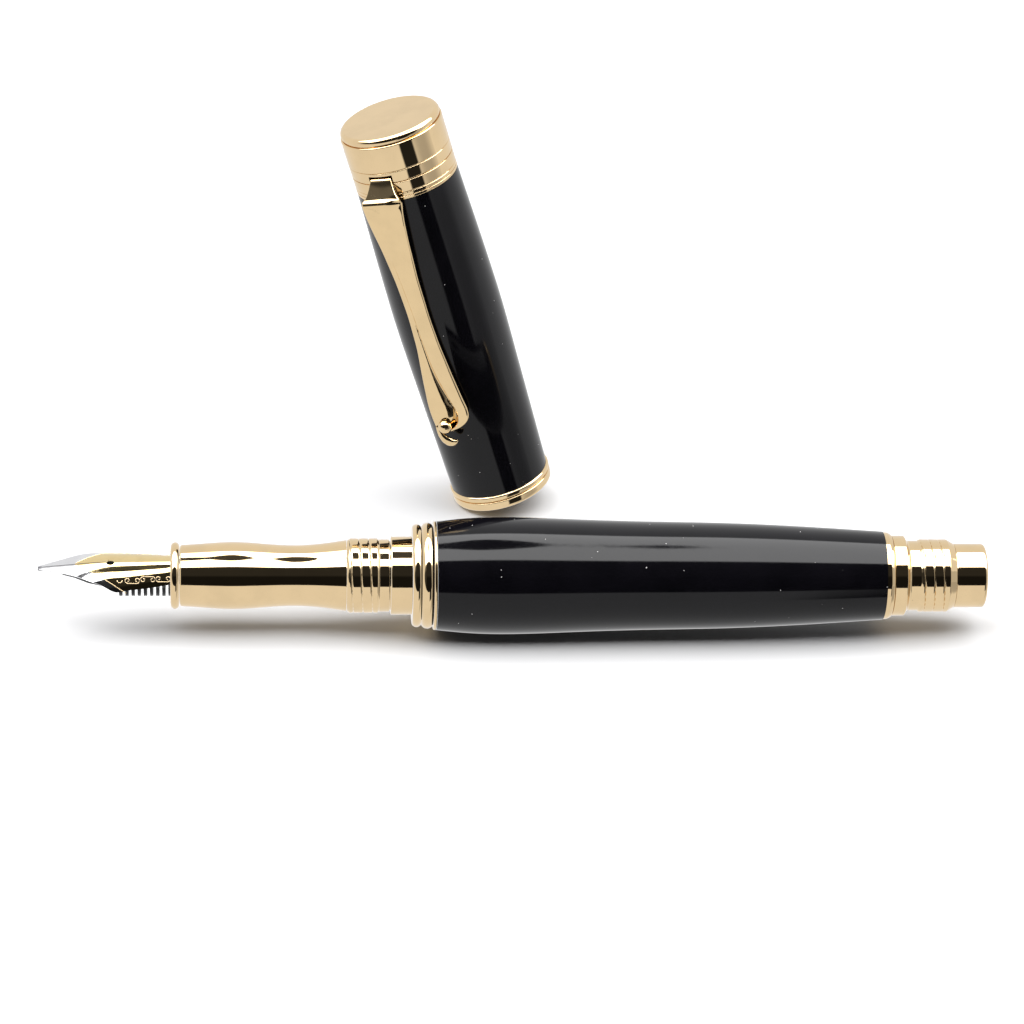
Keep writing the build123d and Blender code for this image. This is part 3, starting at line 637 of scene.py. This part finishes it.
# scroll: millimetres from the tip and sideways from the slit
ARCH_AT = (11.35, 3.0)
ARCH_HALF = (0.36, 0.34)
SCROLL_AT = (12.45, 3.02)
SCROLL_STEP = (2.15, -0.13)
SCROLL_COUNT = 3
SCROLL_WIDTH = 1.3  # between the middles of the two curls
CURL_R = 0.13  # at its inner end
CURL_GROWTH = 0.29
CURL_TURN = 370


def scroll_paths(side):
    """A generic running scroll: flat C-shapes with curled ends, turned down and up in turn."""
    paths = [[(ARCH_AT[0] + ARCH_HALF[0] * math.cos(k * math.pi / 14),
               ARCH_AT[1] + ARCH_HALF[1] * math.sin(k * math.pi / 14)) for k in range(15)]]
    for index in range(SCROLL_COUNT):
        first = SCROLL_AT[0] + SCROLL_STEP[0] * index
        level = SCROLL_AT[1] + SCROLL_STEP[1] * index
        flat_side = -1 if index % 2 else 1
        curl = []
        for k in range(25):
            angle = math.radians(90 + CURL_TURN * (1 - k / 24))
            radius = CURL_R + CURL_GROWTH * k / 24
            curl.append((radius * math.cos(angle), flat_side * radius * math.sin(angle)))
        far_curl = [(SCROLL_WIDTH - a, b) for a, b in reversed(curl)]
        paths.append([(first + a, level + b) for a, b in curl + far_curl])
    return [[nib_point(NIB_TIP + u, side * v, 0.012) for u, v in path] for path in paths]


def engraving():
    """Border and scroll as fine raised lines, and a black tube in the slit as painted shade."""
    ahead = [0.25 + 7.1 * k / 39 for k in range(40)]
    border = [[nib_point(NIB_TIP + NIB_BORDER_START + u, side * u * NIB_BORDER_SLOPE, 0.005)
               for u in ahead] for side in (1, -1)]
    wire("nib_border_line", border, 0.055, GOLD)
    # painted shade: a thin black tube sunk into the slit darkens it where the gap lies in shade
    slit = [nib_point(x, 0.0, -0.045) for x in np.linspace(NIB_TIP + 0.5, BREATHER_X - 0.6, 40)]
    wire("slit_painted_shade", [slit], SLIT_HALF, BLACK_PLASTIC)
    wire("nib_scroll_engraving", scroll_paths(1) + scroll_paths(-1), 0.06, GOLD)


FEED_R = 2.5
FEED_CORE_R = 1.3
FIN_R = 2.86
FIN_PITCH = 0.86
FIN_THICK = 0.46
FIN_FIRST = -55.2
FIN_COUNT = 9
FEED_SIDES = 64
FEED_TOP = 2.1  # height of the flat under the nib
FEED_TOP_R = 2.4  # above the fins
FIN_RISE = 0.18  # sine of the angle at which the fins end
CHANNEL_HALF = 0.28
CHANNEL_DEPTH = 0.35
UNDER_NIB = NIB_THICKNESS + 0.05  # from the nib's outer face down to the feed's nose
WELL_FRONT = -58.5  # hollow under the slit and the breather
WELL_HALF = 0.7
WELL_DEPTH = 0.9
# nose: station, half width, height of its widest line
FEED_NOSE = [(-63.3, 0.30, 0.96), (-63.1, 0.48, 0.79), (-61.5, 0.80, 0.67), (-59.5, 1.38, 0.41),
             (-57.6, 1.72, 0.34), (-56.2, 2.10, 0.12), (-55.45, 2.35, 0.0)]


def feed_section(x, core):
    """Cross-section of the feed: round below, flattened and grooved by the ink channel above."""
    out = []
    for k in range(FEED_SIDES):
        angle = 2 * math.pi * k / FEED_SIDES
        reach = FEED_TOP_R if math.sin(angle) > FIN_RISE else core
        y, z = reach * math.cos(angle), min(reach * math.sin(angle), FEED_TOP)
        if z >= FEED_TOP - 0.02 and abs(y) < CHANNEL_HALF:
            z = FEED_TOP - CHANNEL_DEPTH
        out.append((x, y, z))
    return out


def nose_section(x, half, rise):
    """Cross-section of the feed's nose: its upper side follows the nib's inner face."""
    crown, sheet_r, _ = smooth_nib_values(x)
    out = []
    for k in range(FEED_SIDES):
        angle = 2 * math.pi * k / FEED_SIDES
        y = half * math.cos(angle)
        roof = crown - sheet_r + math.sqrt((sheet_r - UNDER_NIB) ** 2 - y * y)
        if x > WELL_FRONT and abs(y) < WELL_HALF:
            roof -= WELL_DEPTH
        lift = math.sin(angle)
        reach = half if lift < 0 else max(half, roof - rise)
        out.append((x, y, min(roof, rise + reach * lift)))
    return out


def feed():
    """Feed body with a tapered nose, an ink channel and a comb of fins."""
    rows = [nose_section(*row) for row in FEED_NOSE]
    for index in range(FIN_COUNT + 1):
        start = FIN_FIRST + FIN_PITCH * index
        if index < FIN_COUNT:
            outline = ((start - 0.02, FEED_CORE_R), (start, FIN_R), (start + FIN_THICK, FIN_R),
                       (start + FIN_THICK + 0.02, FEED_CORE_R))
        else:
            outline = ((start - 0.02, FEED_CORE_R), (start, FEED_R), (-39.2, FEED_R))
        rows += [feed_section(x, reach) for x, reach in outline]
    points = [p for ring in rows for p in ring]
    piece("feed_skin", points, tube_faces(len(rows), FEED_SIDES), NIB, "nib_unit",
          "black_plastic", replaces=["feed"], sharp=30)


def housing():
    """Threaded housing of nib and feed, with the nipple for the converter and a conical bore."""
    outline = [(-47.4, 2.87), (-47.4, 3.4, 0.1), (-42.0, 3.4), (-40.7, 3.4), (-40.6, 3.28)]
    outline += dense(-40.5, -27.0, 3.28)
    outline += [(-26.9, 3.28), (-26.8, 3.4), (-25.1, 3.4, 0.15), (-25.1, 1.15), (-19.0, 1.15, 0.1),
                (-18.6, 0.85), (-18.6, 0.5)]
    turned_piece("nib_housing_skin", soften(outline), PEN, "nib_unit", "black_plastic",
                 shape=thread(-40.6, -26.9, 3.28, 3.4, 1.0, 0.3))


# ======== converter ========
FLUTES = 24
FLUTE_DEPTH = 0.13


def converter():
    """Mouth, ink tube, plated band, fluted knob, and the piston's rod and seal."""
    mouth = soften([(-25.0, 1.2), (-25.0, 3.2, 0.2), (-24.6, 3.45, 0.1), (-22.0, 3.45, 0.05),
                    (-21.8, 3.3, 0.05), (-21.4, 3.3, 0.05), (-21.2, 3.45, 0.05),
                    (-16.4, 3.45, 0.15), (-16.4, 3.22), (-17.9, 3.22), (-17.9, 1.2)])
    turned_piece("converter_mouth_skin", mouth, PEN, "converter", "white_plastic")
    tube = soften([(-17.9, 2.75), (-17.9, 3.2, 0.08), (20.0, 3.2, 0.08), (20.0, 2.75)])
    turned_piece("converter_ink_tube_skin", tube, PEN, "converter", "clear_plastic")
    sleeve = soften([(12.5, 3.22), (12.5, 3.42, 0.08), (13.2, 3.42, 0.05), (13.3, 3.34, 0.05),
                     (13.7, 3.34, 0.05), (13.8, 3.42, 0.05), (26.2, 3.42, 0.05), (26.3, 3.34, 0.05),
                     (26.5, 3.34, 0.05), (26.6, 3.42, 0.05), (27.0, 3.42, 0.1), (27.0, 2.2),
                     (20.02, 2.2), (20.02, 3.22)])
    turned_piece("converter_band_skin", sleeve, PEN, "converter", "silver_plate")

    def flutes(along, radius, angle):
        depth = FLUTE_DEPTH * (0.5 - 0.5 * np.cos(FLUTES * angle)) ** 0.6
        ends = np.clip((along - 28.6) / 0.5, 0, 1) * np.clip((44.9 - along) / 0.5, 0, 1)
        return np.where(radius > 3.2, radius - depth * ends, radius)

    knob = soften([(27.2, 1.2), (27.2, 3.3, 0.3), (28.4, 3.3), (28.9, 3.3), (29.4, 3.3),
                   (36.0, 3.3), (44.2, 3.3), (44.7, 3.3), (45.2, 3.3), (46.0, 3.3, 0.5),
                   (46.0, 0.0), (45.0, 0.0), (45.0, 1.2)])
    turned_piece("converter_knob_skin", knob, PEN, "knob", "black_plastic",
                 shape=flutes, segments=240)
    rod = [(-13.0, 0.0), (-13.0, 0.82), (15.0, 0.82)] + dense(15.0, 24.0, 0.72, 0.08)
    rod += [(24.2, 0.7), (24.2, 0.0)]
    turned_piece("piston_rod_skin", rod, PEN, "piston", "white_plastic",
                 shape=thread(15.0, 24.0, 0.72, 0.9, 3.0, 0.3), segments=96)
    seal = soften([(-16.0, 0.0), (-16.0, 2.45, 0.15), (-15.7, 2.7, 0.15), (-15.1, 2.7, 0.2),
                   (-14.9, 2.3, 0.2), (-13.2, 2.3, 0.2), (-12.9, 2.7, 0.2), (-11.9, 2.7, 0.15),
                   (-11.8, 2.4), (-11.8, 0.9), (-13.0, 0.9), (-13.0, 0.0)])
    turned_piece("piston_seal_skin", seal, PEN, "piston", "seal_rubber", segments=128)


# ======== cap ========
CAP_OUTLINE = [(2.4, 7.32), (12.0, 7.57), (22.0, 7.83), (30.0, 7.99), (38.0, 7.88), (46.0, 7.68),
               (52.1, 7.50)]


def cap_body():
    """Resin sleeve, ring at the mouth and threaded bush inside it."""
    profile = spline(CAP_OUTLINE, 0.35) + [(52.1, 6.2), (2.4, 6.2)]
    turned_piece("cap_sleeve_skin", profile, CAP, "cap", "black_resin", axis="Z",
                 segments=288)
    ring = soften([(0.0, 5.6, 0.1), (0.0, 7.5, 0.55), (1.35, 7.5, 0.5), (1.42, 7.22, 0.06),
                   (1.56, 7.22, 0.06), (1.62, 7.56, 0.28), (2.4, 7.56, 0.3), (2.4, 5.82),
                   (4.2, 5.82), (4.2, 5.6)])
    turned_piece("cap_mouth_ring_skin", ring, CAP, "cap", "gold_plate", axis="Z")
    bush = [(4.2, 5.82), (10.6, 5.82), (10.6, 5.3)] + dense(10.4, 4.4, 5.36) + [(4.2, 5.5)]
    turned_piece("cap_thread_bush_skin", bush, CAP, "cap", "raw_brass", axis="Z",
                 shape=thread(4.3, 10.5, 5.36, 5.14, THREAD_PITCH, 0.3))


# opening for the clip's tongue
NOTCH_HALF = 1.78
NOTCH_LOW = 53.98
NOTCH_HIGH = 56.22
NOTCH_FLOOR = 5.8  # radius it is cut down to
NOTCH_NARROWS = 6.3  # radius below which its sides draw together


def notch(along, radius, angle):
    """Opening in the stepped rings for the clip's tongue; angles from the clip's direction."""
    away = (angle + math.pi) % (2 * math.pi) - math.pi
    half = NOTCH_HALF / np.maximum(radius, NOTCH_NARROWS)
    inside = (abs(away) < half) & (along < NOTCH_HIGH) & (along > NOTCH_LOW)
    return np.where(inside, np.minimum(radius, NOTCH_FLOOR), radius)


def finial():
    """Disc, band and stepped rings on top of the cap, and the ring under the clip."""
    disc = [(60.95, 0.0), (60.95, 7.2), (60.98, 7.33)]
    disc += arc3((61.2, 7.38), (61.695, 7.175), (61.9, 6.68), 14) + [(61.9, 0.0)]
    turned_piece("finial_disc_skin", disc, CAP, "cap", "gold_plate", axis="Z")
    top_band = soften([(56.7, 2.37), (56.7, 7.54, 0.14), (60.75, 7.54, 0.2), (60.75, 7.1, 0.05),
                       (60.95, 7.05), (60.95, 2.37)])
    turned_piece("finial_band_skin", top_band, CAP, "cap", "gold_plate", axis="Z")
    base = soften([(52.1, 2.4), (52.1, 7.52, 0.16), (52.6, 7.52, 0.16), (52.62, 7.42),
                   (52.66, 7.42), (52.68, 7.5, 0.14), (53.2, 7.5, 0.14), (53.2, 2.4)])
    turned_piece("clip_ring_skin", base, CAP, "cap", "gold_plate", axis="Z")
    rings = [(53.2, 2.37), (53.2, 7.52, 0.17)] + dense(53.85, 54.7, 7.52, 0.04)
    rings += [(54.9, 7.52, 0.17), (54.92, 7.3, 0.03), (55.0, 7.3, 0.03), (55.02, 7.52, 0.17)]
    rings += dense(55.3, 56.4, 7.52, 0.04) + [(56.68, 7.52, 0.17), (56.7, 2.37)]
    points, faces = turned(soften(rings), "Z", notch, 480)
    piece("finial_rings_skin", points, faces, CLIP, "cap", "gold_plate",
          replaces=["finial_rings"])


# ======== clip ========
CLIP_THICK = 0.72
# outer face from the tongue to the end: x, z, turn of the face from outward to up, half width
CLIP_ROOT = [(6.28, 55.95, 90, 1.62), (7.0, 55.95, 90, 1.62), (7.42, 55.88, 78, 1.64),
             (7.62, 55.68, 52, 1.68), (7.75, 55.46, 34, 1.74), (8.25, 54.72, 34, 2.0),
             (8.75, 54.0, 34, 2.35), (9.1, 53.5, 34, 2.75), (9.2, 53.36, 42, 2.9)]
SHOULDER_AT = (8.75, 52.5)
SHOULDER_R = 1.0
SHOULDER_TURN = 56.0  # of the face where the root meets the shoulder
SHOULDER_STEPS = 18
SHOULDER_HALF = 3.05
FACE_X = [(15.1, 9.3), (20.0, 9.15), (28.0, 8.98), (36.0, 9.02), (44.0, 9.35), (49.0, 9.68),
          (51.75, 9.75)]
# edges of the arm: z, left y, right y
CLIP_EDGES = [(15.1, -2.35, -0.1), (15.2, -2.48, 0.3), (15.5, -2.55, 1.35), (16.0, -2.62, 2.2),
              (16.5, -2.68, 2.75), (17.0, -2.74, 3.05), (17.6, -2.8, 3.2), (18.6, -2.85, 3.2),
              (20.0, -2.82, 2.95), (24.0, -2.45, 2.42), (29.0, -1.88, 1.88), (34.0, -1.68, 1.68),
              (40.0, -1.83, 1.83), (46.0, -2.35, 2.35), (50.0, -2.85, 2.85), (52.3, -3.05, 3.05)]
# crease: z, depth, valley and brow as shares of the half width
CREASE = [(15.0, 1.15, 0.15, 0.44), (18.0, 1.10, 0.22, 0.48), (20.5, 0.85, 0.06, 0.34),
          (23.0, 0.55, -0.12, 0.13), (26.0, 0.34, -0.28, -0.10), (30.0, 0.24, -0.42, -0.28),
          (36.0, 0.18, -0.52, -0.42), (42.0, 0.12, -0.58, -0.50), (46.5, 0.0, -0.60, -0.53),
          (60.0, 0.0, -0.60, -0.53)]
CREASE_REACH = 1.0  # height over which the crease is averaged
CORNER_LIFT = [(49.2, 0.0), (52.4, 1.0), (53.1, 1.0), (53.5, 0.0)]  # z, share
CORNER_DROP = 0.6  # of the right edge below the shoulder
CORNER_START = 0.25
CROWN_DROP = 0.06  # of both edges below the middle
EDGE_ROUNDING = [(53.2, 0.26), (54.3, 0.10)]  # z, radius
BACK_FOLLOW = 0.4  # share of the crease that shows on the back
LEAST_THICK = 0.1
CLIP_COLUMNS = 72
COLUMN_CROWDING = 0.35  # towards the edges


def table_at(table, z, column):
    return float(np.interp(z, [row[0] for row in table], [row[column] for row in table]))


def averaged(table, z, column, reach):
    return float(np.mean([table_at(table, q, column) for q in (z - reach, z, z + reach)]))


def clip_path():
    """Stations of the sheet: x, z, turn of its face, left and right edge."""
    rows = [(x, z, turn, -half, half) for x, z, turn, half in CLIP_ROOT]
    for k in range(SHOULDER_STEPS + 1):
        turn = SHOULDER_TURN * (1 - k / SHOULDER_STEPS)
        rows.append((SHOULDER_AT[0] + SHOULDER_R * math.cos(math.radians(turn)),
                     SHOULDER_AT[1] + SHOULDER_R * math.sin(math.radians(turn)), turn,
                     -SHOULDER_HALF, SHOULDER_HALF))
    for z in np.concatenate([np.arange(52.3, 20.0, -0.3), np.arange(20.0, 15.05, -0.1)]):
        reach = 0.8 if z > 21 else 0.15  # the curved end keeps its shape
        rows.append((averaged(FACE_X, z, 1, reach), float(z), 0.0,
                     averaged(CLIP_EDGES, z, 1, reach), averaged(CLIP_EDGES, z, 2, reach)))
    return rows


def clip_face(z, s):
    """How far the outer face lies below its path at a share s from the left to the right edge."""
    depth, valley, brow = (averaged(CREASE, z, column, CREASE_REACH) for column in (1, 2, 3))
    if s < valley:
        share = (s + 1) / (valley + 1)
        fall = depth * (0.45 * share ** 1.3 + 0.55 * share ** 5)
    elif s < brow:
        fall = depth * (1 - ((s - valley) / max(1e-6, brow - valley)) ** 1.6)
    else:
        fall = 0.0
    lift = table_at(CORNER_LIFT, z, 1)
    corner = CORNER_DROP * max(0.0, (s - CORNER_START) / (1 - CORNER_START)) ** 2 * lift ** 2
    return fall + CROWN_DROP * s * s + corner


def clip_loop(row):
    """Closed cross-section of the sheet at one station, with rounded long edges."""
    x, z, turn, left, right = row
    out = np.array([math.cos(math.radians(turn)), 0, math.sin(math.radians(turn))])
    edge = table_at(EDGE_ROUNDING, z, 1)
    front, back = [], []
    for k in range(CLIP_COLUMNS):
        share = k / (CLIP_COLUMNS - 1)
        s = (1 - COLUMN_CROWDING) * (2 * share - 1) - COLUMN_CROWDING * math.cos(math.pi * share)
        y = left + (right - left) * (s + 1) / 2
        inset = min(y - left, right - y)
        rounding = edge - math.sqrt(max(0.0, edge ** 2 - max(0.0, edge - inset) ** 2))
        fall = clip_face(z, s)
        front.append((y, -fall - rounding))
        back.append((y, min(-fall - rounding - LEAST_THICK,
                            -CLIP_THICK - BACK_FOLLOW * fall + rounding)))
    base = np.array([x, 0, z])
    return [base + np.array([0, y, 0]) + out * h for y, h in front + back[::-1]]


def clip():
    """The clip's one flared sheet, from the tongue in the finial to the curved end."""
    rows = [clip_loop(row) for row in clip_path()]
    points = [p for loop in rows for p in loop]
    size = 2 * CLIP_COLUMNS
    faces = tube_faces(len(rows), size, closed=False) + sheet_ends(len(rows), size)
    piece("clip_arm_skin", points, faces, CLIP, "clip", "gold_plate", GOLD_CLIP, ["clip_arm"],
          sharp=48)


BALL_AT = (9.3, -0.95, 15.95)
BALL_R = 1.05
BALL_RINGS = 32
BALL_SIDES = 64
LOBE_X = 9.22
LOBE_STEPS = 60
LOBE_SIDES = 24
# curled lobe: y, z, half width, half thickness
LOBE = [(-2.2, 16.0, 0.30, 0.30), (-2.16, 15.2, 0.38, 0.36), (-2.0, 14.45, 0.50, 0.42),
        (-1.6, 13.75, 0.66, 0.46), (-1.1, 13.35, 0.74, 0.46), (-0.55, 13.2, 0.62, 0.42),
        (-0.02, 13.28, 0.38, 0.32), (0.4, 13.5, 0.06, 0.08)]


def clip_end():
    """Ball on the clip's end, cradled by a curled lobe that leads cloth under it."""
    points = []
    for i in range(BALL_RINGS + 1):
        v = math.pi * i / BALL_RINGS
        for k in range(BALL_SIDES):
            a = 2 * math.pi * k / BALL_SIDES
            points.append((BALL_AT[0] + BALL_R * math.sin(v) * math.cos(a),
                           BALL_AT[1] + BALL_R * math.sin(v) * math.sin(a),
                           BALL_AT[2] + BALL_R * math.cos(v)))
    faces = tube_faces(BALL_RINGS + 1, BALL_SIDES, closed=False)
    t = np.linspace(0, len(LOBE) - 1, LOBE_STEPS + 1)
    table = np.array(LOBE)
    smooth = np.array([np.interp(t, range(len(LOBE)), table[:, k]) for k in range(4)]).T
    for _ in range(6):
        smooth[1:-1] = 0.25 * smooth[:-2] + 0.5 * smooth[1:-1] + 0.25 * smooth[2:]
    first = len(points)
    for i, (y, z, wide, thick) in enumerate(smooth):
        ahead = smooth[min(i + 1, LOBE_STEPS)] - smooth[max(i - 1, 0)]
        heading = math.atan2(ahead[1], ahead[0])
        for k in range(LOBE_SIDES):
            a = 2 * math.pi * k / LOBE_SIDES
            side = wide * math.cos(a)
            points.append((LOBE_X + thick * math.sin(a), y - side * math.sin(heading),
                           z + side * math.cos(heading)))
    faces += tube_faces(LOBE_STEPS + 1, LOBE_SIDES, first)
    piece("clip_ball_skin", points, faces, CLIP, "clip", "gold_plate", GOLD_CLIP, ["clip_ball"],
          sharp=60)


# ======== studio ========
WHITE_ROOM = 0.95  # brightness wherever no panel stands
# dark lens-shaped gap in the softbox: its direction's X, half length, pitch, half height, brightness
GAP_X = -0.0125
GAP_HALF = 0.1425
GAP_PITCH = 92.0
GAP_HALF_PITCH = 12.6
GAP_LIGHT = 0.07


def environment():
    """Soft white room by direction, with a long overhead softbox and dark panels in front."""
    world = bpy.data.worlds.new("studio")
    bpy.context.scene.world = world
    world.use_nodes = True
    tree = world.node_tree
    background = tree.nodes["Background"]
    way = node(tree, "ShaderNodeTexCoord").outputs["Generated"]
    xyz = node(tree, "ShaderNodeSeparateXYZ", {0: way}).outputs
    front = maths(tree, "MULTIPLY", xyz[1], -1.0)
    pitch = maths(tree, "DEGREES", maths(tree, "ARCTAN2", xyz[2], front))
    bearing = maths(tree, "DEGREES", maths(tree, "ARCTAN2", xyz[0], front))

    def strip(value, low, high, soft):
        rise = ramp(tree, value, low - soft, low + soft)
        fall = ramp(tree, value, high + soft, high - soft)
        return maths(tree, "MULTIPLY", rise, fall)

    def over(base, mask, brightness):
        scaled = maths(tree, "MULTIPLY", base, maths(tree, "SUBTRACT", 1.0, mask))
        return maths(tree, "ADD", scaled, maths(tree, "MULTIPLY", mask, brightness))

    nib_side = strip(bearing, -80, -50, 6.0)
    tail_side = strip(bearing, 44, 82, 14.0)
    post = strip(bearing, 15, 43, 2.0)
    ahead = ramp(tree, maths(tree, "ABSOLUTE", bearing), 60.0, 46.0)
    box_ends = ramp(tree, maths(tree, "ABSOLUTE", xyz[0]), 0.86, 0.80)
    # lowest and highest pitch, softness, sideways mask, brightness; each covers the ones before
    panels = [(-8, 57, 1.0, 1.0, 0.62),  # pale wall
              (-8, 58, 0.8, nib_side, 0.04),
              (42, 58, 3.0, nib_side, 0.15),
              (-8, 58, 0.8, ahead, 0.010),
              (26, 58.5, 4.0, ahead, 0.030),
              (-66, -9, 8.0, tail_side, 0.50),  # duller table
              (-31, -7, 0.8, post, 0.02),  # foot of a stand
              (59, 119.5, 1.6, box_ends, 6.6)]  # softbox
    light = WHITE_ROOM
    for low, high, soft, mask, brightness in panels:
        panel = maths(tree, "MULTIPLY", strip(pitch, low, high, soft), mask)
        light = over(light, panel, brightness)
    away = maths(tree, "DIVIDE", maths(tree, "SUBTRACT", xyz[0], GAP_X), GAP_HALF)
    left_over = maths(tree, "SUBTRACT", 1.0, maths(tree, "MULTIPLY", away, away))
    half = maths(tree, "SQRT", maths(tree, "MAXIMUM", 0.0, left_over))
    from_middle = maths(tree, "ABSOLUTE", maths(tree, "SUBTRACT", pitch, GAP_PITCH))
    inside = maths(tree, "SUBTRACT", maths(tree, "MULTIPLY", half, GAP_HALF_PITCH), from_middle)
    light = over(light, ramp(tree, inside, -0.2, 1.2), GAP_LIGHT)
    tree.links.new(light, background.inputs["Strength"])
    background.inputs["Color"].default_value = (1.0, 1.0, 1.0, 1.0)


def calm_reflections():
    """The front of the pen is left out of mirror images, as if a stand held it elsewhere."""
    for name in ("grip_section_skin", "section_nose_ring_skin", "centre_coupler_skin",
                 "centre_band_skin", "nib_skin", "nib_border_line", "nib_scroll_engraving",
                 "feed_skin", "nib_housing_skin", "converter_mouth_skin",
                 "converter_ink_tube_skin", "piston_rod_skin", "piston_seal_skin"):
        bpy.data.objects[name].visible_glossy = False


def floor():
    mesh = bpy.data.meshes.new("floor")
    reach = 9.0
    mesh.from_pydata([(-reach, -reach, 0), (reach, -reach, 0), (reach, reach, 0),
                      (-reach, reach, 0)], [], [(0, 1, 2, 3)])
    made = bpy.data.objects.new("floor", mesh)
    bpy.context.scene.collection.objects.link(made)
    paint, tree, shader = new_finish("table_top")
    set_values(shader, rough=0.7, specular=0.2)
    cloud = ramp(tree, noise(tree, 14.0, 3.0), 0.3, 0.7)
    white = mixed(tree, cloud, [0.43, 0.43, 0.435, 1], [0.45, 0.45, 0.455, 1])
    tree.links.new(white, shader.inputs["Base Color"])
    mesh.materials.append(paint)
    made.visible_glossy = False
    made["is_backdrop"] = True


def camera():
    """Camera at the shared viewing angle: aimed at the pen, then raised so that the cap fits."""
    azimuth, elevation = math.radians(CAMERA_AZIMUTH), math.radians(CAMERA_ELEVATION)
    back = Vector((math.sin(azimuth) * math.cos(elevation),
                   -math.cos(azimuth) * math.cos(elevation), math.sin(elevation)))
    right = Vector((math.cos(azimuth), math.sin(azimuth), 0))
    up = back.cross(right)
    roll = math.radians(CAMERA_ROLL)
    rolled_right = right * math.cos(roll) + up * math.sin(roll)
    rolled_up = up * math.cos(roll) - right * math.sin(roll)
    data = bpy.data.cameras.new("camera")
    data.lens = LENS
    data.sensor_width = SENSOR
    data.clip_start, data.clip_end = 0.05, 30.0
    made = bpy.data.objects.new("camera", data)
    bpy.context.scene.collection.objects.link(made)
    low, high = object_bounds()
    middle = Vector(((low.x + high.x) / 2, pen_origin.y, pen_origin.z))
    place = middle + (back * CAMERA_DISTANCE + rolled_up * CAMERA_RISE
                      + rolled_right * CAMERA_SIDE) * MM
    turn = Matrix((rolled_right, rolled_up, back)).transposed()
    made.matrix_world = Matrix.Translation(place) @ turn.to_4x4()
    bpy.context.scene.camera = made


for build in (barrel, coupler, band, section, tail, nib, engraving, feed, housing, converter,
              cap_body, finial, clip, clip_end, calm_reflections, environment, floor, camera):
    build()

bpy.context.scene.view_settings.view_transform = "Standard"
bpy.context.scene.view_settings.look = "None"
